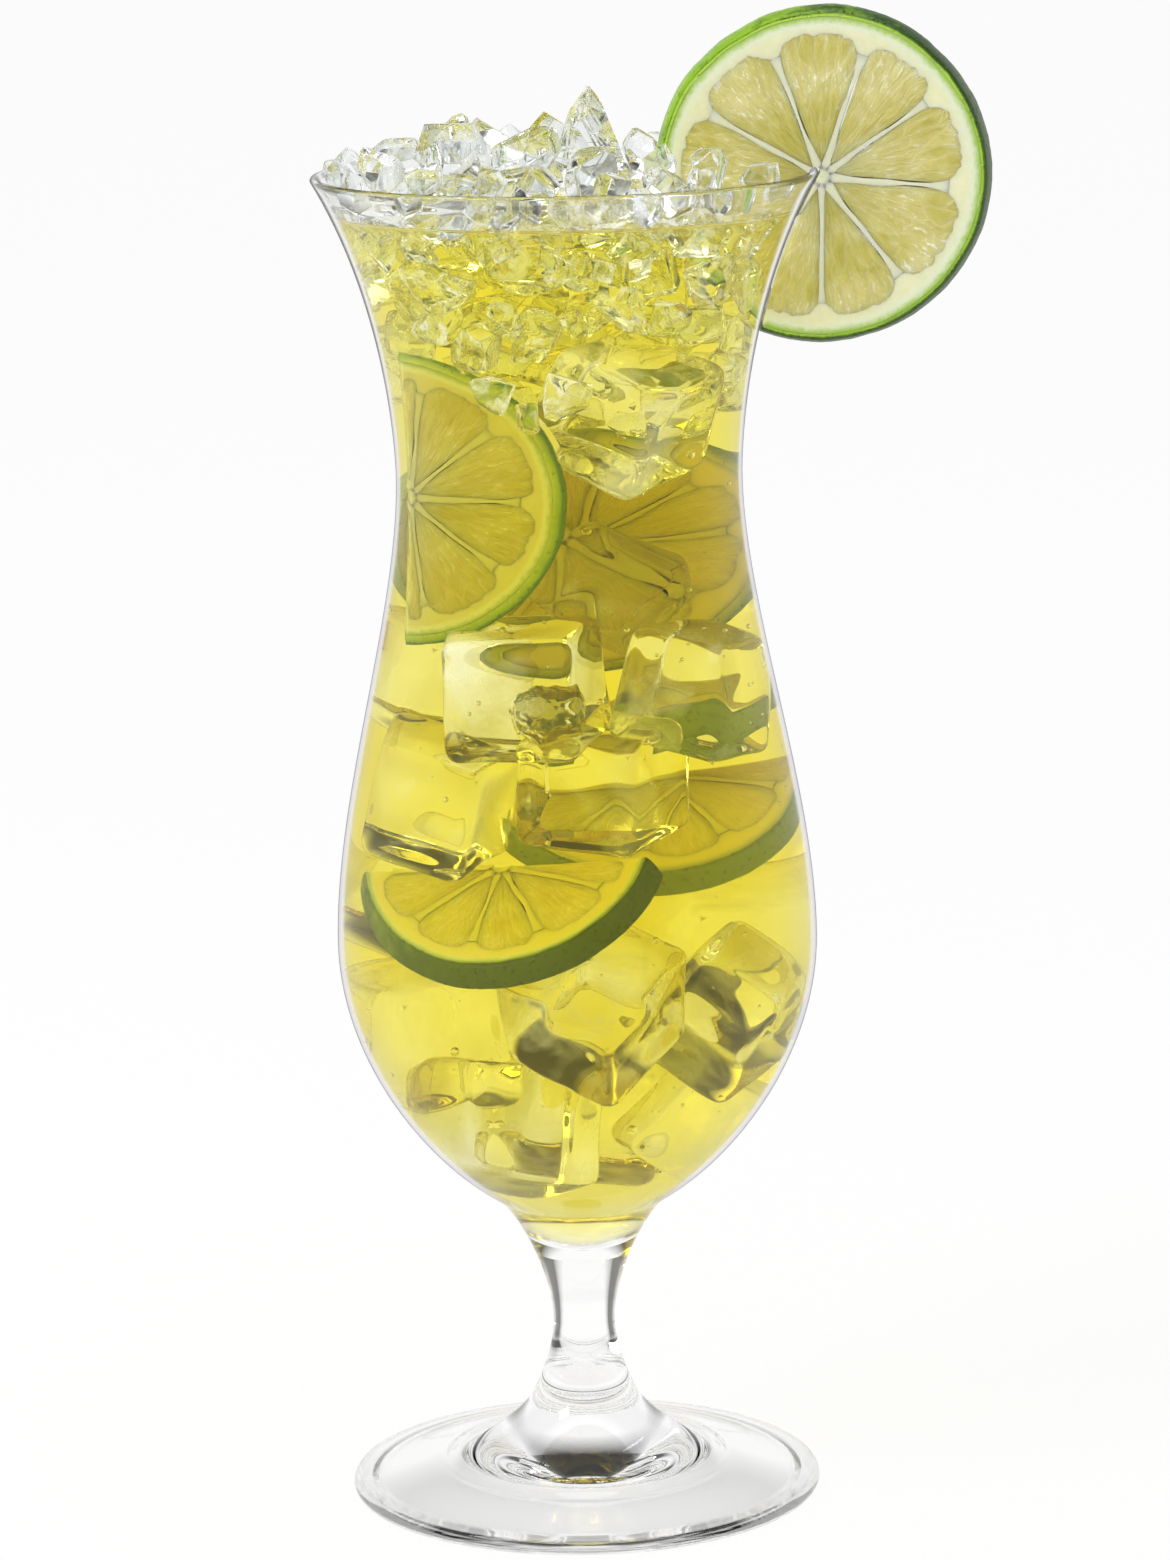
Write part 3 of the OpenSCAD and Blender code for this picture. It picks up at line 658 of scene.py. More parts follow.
def makeGlass(g):
    joint = Vector((lineRadius(outerLine[-g["steps"]:], g["bowlJointZ"]), g["bowlJointZ"]))
    foot = Vector((g["footJointRadius"], g["footJointZ"]))

    # 1 is a fused face, 2 the inside that the drink wets
    def faceKind(a, b):
        if any(abs(a.y - p.y) < 1e-6 and abs(b.y - p.y) < 1e-6 for p in (joint, foot)):
            return 1
        inside = a.y < drinkTop and b.y <= drinkTop and a.x < lineRadius(outerLine, a.y) - g["wall"] / 3
        return 2 if inside and min(a.y, b.y) > g["floorZ"] - 0.1 else 0
    for name, line, body, fused, nodes in (
            ("glassBowl", bowlOutline(g, joint), glassMat, fusedMat, ("glass_top", "glass_bowl")),
            ("glassStem", stemOutline(g, joint, foot), stemGlassMat, fusedMat, ("glass_stem",)),
            ("glassFoot", footOutline(g, foot), footGlassMat, footFusedMat, ("glass_foot",))):
        dress(revolve(name, line, g["around"], faceKind), "root", "glass", [body, fused, wetGlassMat], *nodes)


makeGlass(glassSizes)

print("lime")
drinkDepth = drinkTop - glassSizes["floorZ"]


# a place inside the bowl from shares of the radius there and of the drink's depth
def place(share):
    z = glassSizes["floorZ"] + share[2] * drinkDepth
    r = innerRadius(z)
    return Vector((share[0] * r, share[1] * r, z))


def turned(angles):
    return Euler([math.radians(a) for a in angles], "XYZ").to_matrix().to_4x4()


def camel(node):
    words = node.split("_")
    return words[0] + "".join(w.capitalize() for w in words[1:])


limeCut = {                      # millimetres, as in the CAD model but for the skins (membrane)
    "peel": 1.1, "pith": 1.6, "core": 1.6, "membrane": 0.75, "taper": 0.9, "segments": 9,
    "corner": 0.15, "bulge": 0.20, "vesicle": 0.10, "pore": 0.06, "bow": 0.22, "around": 300,
    "fleshGrid": (22, 30),       # steps across and along a segment
}


def isWhole(arc):
    return arc[1] - arc[0] >= 360


# the angles of n even steps along an arc, both ends included
def arcAngles(arc, n):
    return [math.radians(arc[0] + (arc[1] - arc[0]) * k / n) for k in range(n + 1)]


# the same for rows that are joined, where a whole turn ends in its first row
def rowAngles(arc, n):
    return arcAngles(arc, n)[:-1] if isWhole(arc) else arcAngles(arc, n)


# joins rows of m points each to a tube, with a cap at each open end
def stitch(faces, base, rows, m, closed):
    for k in range(rows if closed else rows - 1):
        q = (k + 1) % rows
        for i in range(m):
            j = (i + 1) % m
            faces.append((base + k * m + i, base + q * m + i, base + q * m + j, base + k * m + j))
    if not closed:
        faces.append(tuple(range(base, base + m)))
        faces.append(tuple(reversed(range(base + (rows - 1) * m, base + rows * m))))


# the rounded outline of the peel, pores included, with how deep each point lies under the skin
def peelMesh(r, t, arc, v, seed):
    angles = rowAngles(arc, max(24, int(v["around"] * (arc[1] - arc[0]) / 360)))
    inner = r - v["taper"] - v["peel"]
    section = []
    for i in range(13):
        s = i / 12
        corner = 0.32 * (max(0, abs(2 * s - 1) - 0.8) / 0.2) ** 2
        bulge = v["bow"] * (1 - (2 * s - 1) ** 2)
        section.append((r - v["taper"] * s + bulge - v["bow"] - corner, t * (s - 0.5), 0.0))
    section += [(r - v["taper"] - (v["peel"] * k), t / 2, k) for k in (0.5, 1.0)]
    section += [(inner, 0, 1.0), (inner, -t / 2, 1.0), (inner + (r - inner) * 0.5, -t / 2, 0.5)]
    points, depth, faces = [], [], []
    for a in angles:
        for (rr, z, d) in section:
            p = Vector((rr * math.cos(a), rr * math.sin(a), z))
            if d == 0:
                lump = noise.noise(p / 0.9 + Vector((seed * 7.7, 0, 0)))
                broad = noise.noise(p / 7.0 + Vector((0, seed * 3.3, 0)))
                p -= Vector((math.cos(a), math.sin(a), 0)) * (v["pore"] * (1 + lump) + 0.12 * (1 + broad))
            points.append(p)
            depth.append(d)
    stitch(faces, 0, len(angles), len(section), isWhole(arc))
    return points, faces, depth


# ring under the peel, core, and the skins between the segments, a hair lower than the flesh
def pithMesh(r, t, arc, v, seed):
    lo, hi = arc
    whole = isWhole(arc)
    fleshR = r - v["taper"] - v["peel"] - v["pith"]
    top = t / 2 - 0.06
    points, faces, along = [], [], []

    def sweep(section, angles):
        base = len(points)
        for a in angles:
            for (rr, z) in section:
                p = Vector((rr * math.cos(a), rr * math.sin(a), z))
                p.z += 0.05 * noise.noise(p / 1.6 + Vector((seed, 0, 0))) * (1 if z > 0 else -1 if z < 0 else 0)
                points.append(p)
                along.append((rr - fleshR) / v["pith"])
        stitch(faces, base, len(angles), len(section), whole)
    out = r - v["taper"] - v["peel"] - 0.03
    inn = fleshR * (1 - v["corner"]) - 0.3
    sweep([(out, -top), (out, 0), (out, top), (out - 0.6, top), (out - 1.2, top), (out - 1.8, top),
           (inn + 0.6, top - 0.1), (inn, top - 0.25), (inn, 0), (inn, -top + 0.25), (inn + 0.6, -top + 0.1),
           (out - 1.2, -top)], rowAngles(arc, max(18, int(v["around"] * 0.6 * (hi - lo) / 360))))
    c = v["core"]
    sweep([(0.02, top - 0.2), (0.02, -top + 0.2), (c * 0.6, -top + 0.05), (c, -top + 0.15), (c + 0.15, 0),
           (c, top - 0.15), (c * 0.6, top - 0.05)], rowAngles(arc, 16))
    half = v["membrane"] / 2
    steps = 14
    for i in range(v["segments"]):
        a = (i + 0.5) * 360 / v["segments"]
        while a > hi:
            a -= 360
        while a < lo:
            a += 360
        if a > hi:
            continue
        turn = math.radians(a)
        edge = min(abs(a - lo), abs(a - hi)) < 2 and not whole
        base = len(points)
        wave = noise.noise(Vector((i * 3.1, seed, 0)))
        for k in range(steps + 1):
            s = k / steps
            x = c * 0.7 + (inn + 0.4 - c * 0.7) * s
            drift = noise.noise(Vector((s * 2.6, i * 5.3, seed * 1.7)))
            side = 0 if edge else math.sin(s * math.pi) * (0.2 * wave + 0.45 * drift)
            swell = 0.85 + 0.9 * noise.noise(Vector((s * 3.4, i * 2.9 + 40, seed)))
            thick = half * (max(0.45, swell) + 1.0 * (1 - s) ** 5 + 1.4 * s ** 9)
            for (w, z) in ((-thick, -top), (thick, -top), (thick, 0), (thick, top - 0.03), (0, top + 0.03),
                           (-thick, top - 0.03), (-thick, 0)):
                y = side + w
                points.append(Vector((x * math.cos(turn) - y * math.sin(turn),
                                      x * math.sin(turn) + y * math.cos(turn), z)))
                along.append(-1)
        stitch(faces, base, steps + 1, 7, False)
    return points, faces, along


# the segments: domed, with the juice sacs' bumps running out from the core
def fleshMesh(r, t, arc, v, seed):
    lo, hi = arc
    whole = isWhole(arc)
    fleshR = r - v["taper"] - v["peel"] - v["pith"]
    w = 180 / v["segments"]
    half = v["membrane"] / 2
    points, faces, sacs = [], [], []
    na, nr = v["fleshGrid"]
    row = na + 1
    layer = row * (nr + 1)
    for i in range(v["segments"]):
        mid = i * 360 / v["segments"]
        while mid - w >= hi - 0.01:
            mid -= 360
        while mid + w <= lo + 0.01:
            mid += 360
        cutLo = not whole and mid - w < lo - 0.01
        cutHi = not whole and mid + w > hi + 0.01
        if not whole and (mid - w >= hi - 0.01 or mid + w <= lo + 0.01):
            continue
        base = len(points)
        for side in (1, -1):
            for k in range(nr + 1):
                s = k / nr
                for j in range(row):
                    u = -1 + 2 * j / na
                    rr = v["core"] + (fleshR * (1 - v["corner"] * u ** 6) - v["core"]) * s
                    skin = math.degrees(math.asin(min(1, (half + 0.02) / max(rr, half * 1.01))))
                    a0 = lo if cutLo else mid - w + skin
                    a1 = hi if cutHi else mid + w - skin
                    a = a0 + (a1 - a0) * (u + 1) / 2
                    ang = math.radians(a)
                    rise = (1 - abs(u) ** 5) * (1 - (2 * s - 1) ** 8)
                    q = Vector((a / 3.1 + seed * 5, rr / 5.5, side * 3))
                    sac = noise.noise(q) + 0.5 * noise.noise(q * 2.3)
                    z = side * (t / 2 - v["bulge"] * (1 - rise) + v["vesicle"] * sac * rise)
                    points.append(Vector((rr * math.cos(ang), rr * math.sin(ang), z)))
                    sacs.append((a / 40.0 + 5 * i, rr / 10.0))
        for k in range(nr):
            for j in range(na):
                a, d = base + k * row + j, base + (k + 1) * row + j
                faces.append((d, d + 1, a + 1, a))
                faces.append((a + layer, a + 1 + layer, d + 1 + layer, d + layer))
        rim = ([base + j for j in range(na)] + [base + k * row + na for k in range(nr)]
               + [base + nr * row + j for j in range(na, 0, -1)] + [base + k * row for k in range(nr, 0, -1)])
        for p, q in zip(rim, rim[1:] + rim[:1]):
            faces.append((p, q, q + layer, p + layer))
    return points, faces, sacs


# a real lime isn't quite round, and its segments aren't all as wide
def grown(p, arc, seed):
    r = math.hypot(p.x, p.y)
    if r < 1e-6:
        return p
    a = math.degrees(math.atan2(p.y, p.x))
    while a < arc[0] - 0.5:
        a += 360
    while a > arc[1] + 0.5:
        a -= 360
    fade = 1 if isWhole(arc) else math.sin(math.pi * min(1, max(0, (a - arc[0]) / (arc[1] - arc[0]))))
    turn = 3.2 * fade * (math.sin(math.radians(2 * a) + seed) + 0.7 * math.sin(math.radians(3 * a) + 2.3 * seed))
    t = math.radians(a)
    swell = 1 + 0.018 * noise.noise(Vector((1.4 * math.cos(t), 1.4 * math.sin(t), 3.7 * seed)))
    swell += 0.006 * noise.noise(Vector((5 * math.cos(t), 5 * math.sin(t), 1.9 * seed)))
    t += math.radians(turn)
    return Vector((r * swell * math.cos(t), r * swell * math.sin(t), p.z))


# the colours of the wheel on the rim and of the slices, from high in the drink to deep in it; the slices'
# kinds are painted light and shade, for the light that reaches each through the drink;
# ring tells where the pith turns from the skins' colour to white
limeColors = {
    "garnish": {
        "peelBright": (0.25, 0.47, 0.010), "peelDark": (0.030, 0.085, 0.006), "peelInner": (0.40, 0.62, 0.06),
        "pith": (0.76, 0.79, 0.60), "pithGreen": (0.40, 0.60, 0.12), "skin": (0.78, 0.77, 0.52),
        "flesh": (0.62, 0.55, 0.13), "sac": (0.50, 0.44, 0.06), "pale": (0.76, 0.72, 0.36),
        "glint": (0.97, 0.96, 0.84), "ring": (-0.1, 0.3), "gloss": 1.0, "glow": 0.7},
    "high": {
        "peelBright": (0.34, 0.43, 0.015), "peelDark": (0.15, 0.25, 0.010), "peelInner": (0.50, 0.56, 0.06),
        "pith": (0.74, 0.75, 0.36), "pithGreen": (0.46, 0.53, 0.06), "skin": (0.63, 0.57, 0.12),
        "flesh": (0.58, 0.50, 0.05), "sac": (0.51, 0.44, 0.02), "pale": (0.64, 0.58, 0.13),
        "glint": (0.76, 0.72, 0.30), "ring": (0.2, 0.8), "gloss": 0.25, "glow": 0.8},
    "sunk": {
        "peelBright": (0.25, 0.31, 0.005), "peelDark": (0.11, 0.145, 0.003), "peelInner": (0.40, 0.50, 0.05),
        "pith": (0.78, 0.79, 0.34), "pithGreen": (0.48, 0.56, 0.08), "skin": (0.71, 0.61, 0.05),
        "flesh": (0.70, 0.60, 0.04), "sac": (0.62, 0.52, 0.02), "pale": (0.75, 0.67, 0.12),
        "glint": (0.86, 0.80, 0.30), "ring": (0.6, 1.1), "gloss": 0.2, "glow": 0.8},
    "deep": {
        "peelBright": (0.42, 0.46, 0.015), "peelDark": (0.25, 0.31, 0.008), "peelInner": (0.56, 0.54, 0.05),
        "pith": (0.68, 0.62, 0.08), "pithGreen": (0.52, 0.52, 0.06), "skin": (0.72, 0.64, 0.03),
        "flesh": (0.72, 0.64, 0.03), "sac": (0.64, 0.56, 0.02), "pale": (0.74, 0.67, 0.06),
        "glint": (0.78, 0.72, 0.12), "ring": (0.5, 1.1), "gloss": 0.1, "glow": 0.8},
}


# white where the source is below the first value, black to white on the way to the second
def step(nt, source, low, high, most=1.0):
    return ramp(nt, source, [(low, grey(0)), (high, grey(most))])


# the peel's green darkens in random patches and is painted darker on its shaded side, a painted shade
def buildPeel(nt, given):
    coord, shade = objectCoords(nt), attributeValue(nt, "shade")
    patch = noiseNode(nt, coord, 170.0, 7.0, 0.75)
    green = mixColor(nt, step(nt, math2(nt, "ADD", product(nt, patch, 1.3), shade), 0.68, 1.0),
                     given["Bright"], given["Dark"])
    pores = add(nt, "ShaderNodeTexVoronoi", {"Vector": coord, "Scale": 1100.0}).outputs["Distance"]
    dots = ramp(nt, pores, [(0.05, grey(0.35)), (0.28, grey(1.0))])
    green = mixColor(nt, 0.35, green, mixColor(nt, 1.0, green, dots, "MULTIPLY"))
    ragged = math2(nt, "ADD", attributeValue(nt, "depth"), math2(nt, "SUBTRACT", product(nt, patch, 1.2), 0.6))
    # the peel's cut face is painted darker on the shaded side too, a painted shade
    inner = mixColor(nt, step(nt, shade, 0.55, 0.9, 0.75), given["Inner"], given["Bright"])
    return {"Color": mixColor(nt, step(nt, ragged, 0.25, 0.95), green, inner), "Height": step(nt, pores, 0.0, 0.35)}


# white by the ring's middle, green by the peel, and the skin colour on the ring's inner side and
# on the skins between the segments
def buildPith(nt, given):
    along = attributeValue(nt, "along")
    fibre = noiseNode(nt, objectCoords(nt), 900.0, 5.0, 0.65)
    edge = step(nt, math2(nt, "ADD", product(nt, along, 0.6), product(nt, fibre, 0.6)), 0.48, 0.80)
    within = add(nt, "ShaderNodeMapRange", {"Value": math2(nt, "ADD", along, product(nt, fibre, 0.4)),
                                            "From Min": given["Ring From"], "From Max": given["Ring To"]})
    tint = mixColor(nt, within.outputs[0], given["Skin"], mixColor(nt, edge, given["White"], given["Green"]))
    return {"Color": mixColor(nt, ramp(nt, fibre, [(0.35, grey(0.14)), (0.62, grey(0))]), tint, given["Green"]),
            "Height": fibre}


# juice sacs along the segment, with pale clouds and painted glints: near-white colour where wet highlights would be
def buildFlesh(nt, given):
    uv = add(nt, "ShaderNodeUVMap", uv_map="sacs").outputs[0]
    wobble = add(nt, "ShaderNodeTexNoise", {"Vector": uv, "Scale": 3.0}).outputs["Color"]
    warp = add(nt, "ShaderNodeVectorMath", {0: wobble, 1: (0.12, 0.25, 0.0), 2: uv}, operation="MULTIPLY_ADD")
    sacMap = add(nt, "ShaderNodeMapping", {"Vector": warp.outputs[0], "Scale": (7.5, 1.8, 1.0)}).outputs[0]
    cells = add(nt, "ShaderNodeTexVoronoi", {"Vector": sacMap, "Scale": 1.0}, voronoi_dimensions="2D",
                feature="DISTANCE_TO_EDGE").outputs["Distance"]
    skin = ramp(nt, cells, [(0.0, grey(1)), (0.10, grey(0.35)), (0.30, grey(0))])
    streak = noiseNode(nt, sacMap, 1.4, 4.0, 0.6, "2D")
    cloud = noiseNode(nt, objectCoords(nt), 130.0, 3.0)
    body = mixColor(nt, step(nt, streak, 0.35, 0.70), given["Flesh"], given["Sac"])
    body = mixColor(nt, step(nt, cloud, 0.40, 0.68, 0.75), body, given["Pale"])
    body = mixColor(nt, product(nt, skin, 0.4), body, given["Pale"])
    # painted glints: the glint colour is mixed into the base colour, a painted highlight
    spark = noiseNode(nt, sacMap, 2.6, 5.0, 0.7, "2D")
    glints = product(nt, step(nt, spark, 0.57, 0.66, 0.85), step(nt, cloud, 0.42, 0.60))
    relief = math2(nt, "ADD", streak, product(nt, spark, 0.5))
    return {"Color": mixColor(nt, glints, body, given["Glint"]),
            "Height": math2(nt, "SUBTRACT", relief, product(nt, skin, 0.35))}


surface = {"Color": "Color", "Height": "Float"}
peelEffect = effectGroup("limePeel", {"Bright": "Color", "Dark": "Color", "Inner": "Color"}, surface, buildPeel)
pithEffect = effectGroup("limePith", {"White": "Color", "Green": "Color", "Skin": "Color",
                                      "Ring From": "Float", "Ring To": "Float"}, surface, buildPith)
fleshEffect = effectGroup("limeFlesh", {"Flesh": "Color", "Sac": "Color", "Pale": "Color", "Glint": "Color"},
                          surface, buildFlesh)


# relief is the bump's strength and depth; values are the Principled shader's own
def limeMaterial(name, effect, given, relief, values):
    mat, nt, bsdf, out = newMaterial(name, next(iter(given.values())))
    look = useEffect(nt, effect, given)
    bump = add(nt, "ShaderNodeBump", {"Height": look["Height"], "Strength": relief[0], "Distance": relief[1]})
    feedAll(nt, bsdf, {"Base Color": look["Color"], "Normal": bump.outputs[0], "Coat Normal": bump.outputs[0],
                       **values})
    return mat


def limeMaterials(kind, c):
    return {
        "peel": limeMaterial(
            kind + "Peel", peelEffect, {"Bright": c["peelBright"], "Dark": c["peelDark"], "Inner": c["peelInner"]},
            (0.8, 0.00025), {"Roughness": 0.42, "Specular IOR Level": 0.35 * c["gloss"],
                             "Coat Weight": 0.10 * c["gloss"], "Coat Roughness": 0.25}),
        "pith": limeMaterial(
            kind + "Pith", pithEffect, {"White": c["pith"], "Green": c["pithGreen"], "Skin": c["skin"],
                                        "Ring From": c["ring"][0], "Ring To": c["ring"][1]},
            (0.5, 0.0002), {"Roughness": 0.5, "Subsurface Weight": c["glow"], "Subsurface Radius": (1.0, 0.9, 0.4),
                            "Subsurface Scale": 0.002}),
        "flesh": limeMaterial(
            kind + "Flesh", fleshEffect, {"Flesh": c["flesh"], "Sac": c["sac"], "Pale": c["pale"],
                                          "Glint": c["glint"]},
            (0.8, 0.0007), {"Roughness": 0.20, "IOR": 1.36, "Specular IOR Level": 0.5 * c["gloss"],
                            "Coat Weight": 0.8 * c["gloss"], "Coat Roughness": 0.06,
                            "Subsurface Weight": c["glow"], "Subsurface Radius": (1.0, 0.85, 0.25),
                            "Subsurface Scale": 0.004}),
    }


limeMats = {kind: limeMaterials(kind, c) for kind, c in limeColors.items()}


def pointAttribute(mesh, name, values):
    mesh.attributes.new(name, "FLOAT", "POINT").data.foreach_set("value", values)


# how far a point of the peel looks towards the fruit's shaded side, for the peel's painted shade
def addShade(ob, middle, direction):
    pointAttribute(ob.data, "shade", [0.5 + 0.5 * (Vector(vert.co) / mm - middle).normalized().dot(direction)
                                      for vert in ob.data.vertices])


def freeze(ob):
    deps = bpy.context.evaluated_depsgraph_get()
    deps.update()
    mesh = bpy.data.meshes.new_from_object(ob.evaluated_get(deps))
    ob.modifiers.clear()
    old = ob.data
    ob.data = mesh
    bpy.data.meshes.remove(old)


def carve(ob, *cutters, transfer=False):
    for cutter in cutters:
        mod = ob.modifiers.new("carve", "BOOLEAN")
        mod.operation = "DIFFERENCE"
        mod.solver = "MANIFOLD"
        if transfer:
            mod.material_mode = "TRANSFER"
        mod.object = cutter
    freeze(ob)
    if not transfer:
        ob.data.materials.clear()


def makeLime(prefix, kind, body, where, r, t, arc, seed, cutter=None):
    for part, maker in (("peel", peelMesh), ("pith", pithMesh), ("flesh", fleshMesh)):
        points, faces, extra = maker(r, t, arc, limeCut, seed)
        ob = meshObject(camel(prefix + "_" + part), [where @ grown(p, arc, seed) for p in points], faces)
        if part == "flesh":
            uvs = ob.data.uv_layers.new(name="sacs")
            for loop in ob.data.loops:
                uvs.data[loop.index].uv = extra[loop.vertex_index]
        else:
            pointAttribute(ob.data, "depth" if part == "peel" else "along", extra)
        fixNormals(ob.data)
        if cutter:
            carve(ob, cutter)
        if part == "peel":
            # the peel's painted shade falls towards the right and below
            addShade(ob, where.translation, Vector((0.75, -0.1, -0.65)))
        smooth(ob.data, 38)
        dress(ob, body, "lime_" + part, [limeMats[kind][part]], prefix + "_" + part)


garnish = {
    "radius": 26.0, "thick": 5.0, "yaw": 5.0, "roll": 12.0, "out": 1.2, "down": 1.2, "slit": 0.25,
    "room": 0.3,                   # that the ice leaves round it
    "lean": 22.07, "lift": 34.0,   # how it is drawn off the rim: degrees from upright, millimetres
}
rimMid = Vector((rimCentre.x, 0, glassSizes["height"]))


# the glass's wall, a hair thicker, as the knife that cuts the slit
def slitKnife(v):
    gap = Vector((v["slit"], 0))
    reach = rimMid.z - v["radius"] - 4
    left = [p - gap for p in innerLine if p.y > reach]
    right = [p + gap for p in outerLine if p.y > reach]
    top = arcPoints(rimCentre.x, rimCentre.y, glassSizes["rimWall"] / 2 + v["slit"], range(160, 0, -20))
    outline = [left[-1]] + list(reversed(left[:-1])) + top + right
    n = len(outline)
    points = [Vector((p.x, y, p.y)) for y in (-12, 12) for p in outline]
    faces = [(i, (i + 1) % n, n + (i + 1) % n, n + i) for i in range(n)]
    faces += [tuple(range(n))[::-1], tuple(range(n, 2 * n))]
    ob = meshObject("slitKnife", points, faces)
    fixNormals(ob.data)
    return ob


knife = slitKnife(garnish)
stand = turned((90, 0, 0))
whereGarnish = (Matrix.Translation(rimMid + Vector((garnish["out"], 0, -garnish["down"])))
                @ turned((0, 0, -garnish["yaw"])) @ stand @ turned((0, 0, garnish["roll"])))
makeLime("garnish", "garnish", "lime_garnish", whereGarnish, garnish["radius"], garnish["thick"],
         (-180, 180), 1, knife)
bpy.data.objects.remove(knife)

sliceSize = {"radius": 23.0, "thick": 4.6}
# colours, place, size, turn, whether it stands upright, and the arc that is left of the wheel
slices = {
    "upper_slice": ("high", (-0.90, -0.28, 0.737), 1.02, (0, 0, 166), True, (90, 270)),
    "waist_wheel": ("deep", (0.02, 0.36, 0.676), 0.93, (0, 0, 186), True, (-180, 180)),
    "right_wedge": ("deep", (0.26, 0.68, 0.508), 0.95, (6, -12, 0), False, (-120, -30)),
    "right_slice": ("deep", (0.27, 0.20, 0.438), 0.91, (38, -4, 8), False, (-180, 0)),
    "lower_slice": ("sunk", (-0.26, -0.33, 0.376), 0.92, (36, -6, -16), False, (-180, 0)),
}
sliceFrames = {}
for number, (prefix, (kind, share, size, turn, stands, arc)) in enumerate(slices.items()):
    where = Matrix.Translation(place(share)) @ turned(turn) @ (stand if stands else Matrix())
    sliceFrames[prefix] = (where, sliceSize["radius"] * size, arc)
    makeLime(prefix, kind, "root", where, sliceSize["radius"] * size, sliceSize["thick"], arc, 10 + number)

print("ice cubes")
cubeEdge = 18.5
iceCubes = {                     # place, size, turn
    "ice_cube_upper_front": ((0.29, -0.42, 0.822), 1.02, (12, 26, -22)),
    "ice_cube_waist": ((0.17, -0.04, 0.640), 0.78, (20, 35, 30)),
    "ice_cube_centre": ((-0.24, -0.42, 0.556), 1.04, (4, -3, -14)),
    "ice_cube_right": ((0.56, -0.26, 0.545), 0.96, (-6, 12, -20)),
    "ice_cube_left": ((-0.56, -0.25, 0.446), 0.98, (7, 14, -25)),
    "ice_cube_middle_front": ((0.10, -0.27, 0.460), 0.94, (9, 5, -24)),
    "ice_cube_low_front": ((0.06, -0.50, 0.266), 1.0, (38, 30, 25)),
    "ice_cube_low_left": ((-0.31, -0.14, 0.152), 1.0, (-4, 6, 20)),
    "ice_cube_low_right": ((0.55, -0.20, 0.245), 0.9, (24, 36, -10)),
    "ice_cube_bottom_right": ((0.50, 0.16, 0.145), 0.8, (14, 40, 24)),
    "ice_cube_left_back": ((-0.55, 0.14, 0.218), 0.9, (4, -8, 30)),
    "ice_cube_high_back": ((-0.48, 0.36, 0.540), 0.9, (16, 10, 25)),
    "ice_cube_back_left": ((-0.30, 0.50, 0.320), 0.95, (10, 24, -20)),
    "ice_cube_back_right": ((0.40, 0.54, 0.275), 0.9, (18, 8, 34)),
    "ice_cube_bottom_back": ((0.00, 0.55, 0.165), 0.8, (25, 10, 12)),
}
iceShape = {"grid": 22, "round": 2.1, "wave": 0.28, "waveSize": 9.0, "dimple": 0.7, "gap": 0.35}


# points and faces of a melted cube: round edges, wavy sides and a dimple in one of them; and how
# near each point lies to an edge
def roundedCube(edge, v, seed):
    n = v["grid"]
    s = edge / 2
    core = s - v["round"]
    index, points, faces, contour = {}, [], [], []

    def vertex(q):
        key = tuple(round(c * n) for c in q)
        if key not in index:
            p = Vector(q) * s
            inside = Vector([max(-core, min(core, c)) for c in p])
            away = p - inside
            p = inside + (away.normalized() * v["round"] if away.length > 1e-9 else away)
            index[key] = len(points)
            points.append(p)
            contour.append(away.length / v["round"])
        return index[key]
    for axis in range(3):
        for side in (-1, 1):
            for i in range(n):
                for j in range(n):
                    corners = []
                    for di, dj in ((0, 0), (1, 0), (1, 1), (0, 1)):
                        q = [0, 0, 0]
                        q[axis] = side
                        q[(axis + 1) % 3] = -1 + 2 * (i + di) / n
                        q[(axis + 2) % 3] = -1 + 2 * (j + dj) / n
                        corners.append(vertex(q))
                    faces.append(corners if side > 0 else corners[::-1])
    shift = Vector((seed * 31.7, seed * 17.3, seed * 5.1))
    hollow = [Vector((0, -1, 0)), Vector((1, 0, 0)), Vector((0, 0, 1))][seed % 3]
    for p in points:
        wave = noise.noise_vector(p / v["waveSize"] + shift)
        deep = max(0, p.normalized().dot(hollow) - 0.6) / 0.4
        p += wave * v["wave"] * 1.5 - hollow * v["dimple"] * deep * deep
    return points, faces, [(c - 1) / (math.sqrt(3) - 1) for c in contour]


# draws a point in from the bowl's wall, where ice has melted against it
def keepInside(p, gap):
    limit = innerRadius(p.z) - gap
    r = math.hypot(p.x, p.y)
    if r > limit > 0:
        p.x *= limit / r
        p.y *= limit / r
    return p


def cubeFrame(share, turn):
    return Matrix.Translation(place(share)) @ turned(turn)


def cubeCorners(where, s):
    return [where @ Vector((x, y, z)) for x in (-s, s) for y in (-s, s) for z in (-s, s)]


# a flat prism round a slice, a gap larger than it, that the ice gives way to
def sliceRoom(where, r, t, arc, gap):
    middle = math.radians((arc[0] + arc[1]) / 2)
    shift = Vector((math.cos(middle), math.sin(middle), 0)) * (0 if isWhole(arc) else gap)
    points = [((r + gap) * math.cos(a), (r + gap) * math.sin(a)) for a in arcAngles(arc, 32)]
    if arc[1] - arc[0] < 180:
        points.append((0, 0))
    bm = bmesh.new()
    for x, y in points:
        for z in (-t / 2 - gap, t / 2 + gap):
            bm.verts.new((where @ (Vector((x, y, z)) - shift)) * mm)
    bmesh.ops.convex_hull(bm, input=bm.verts)
    return linked("sliceRoom", newMesh("sliceRoom", bm))


def near(point, reach, prefix):
    where, r, arc = sliceFrames[prefix]
    return (point - where.translation).length < reach + r


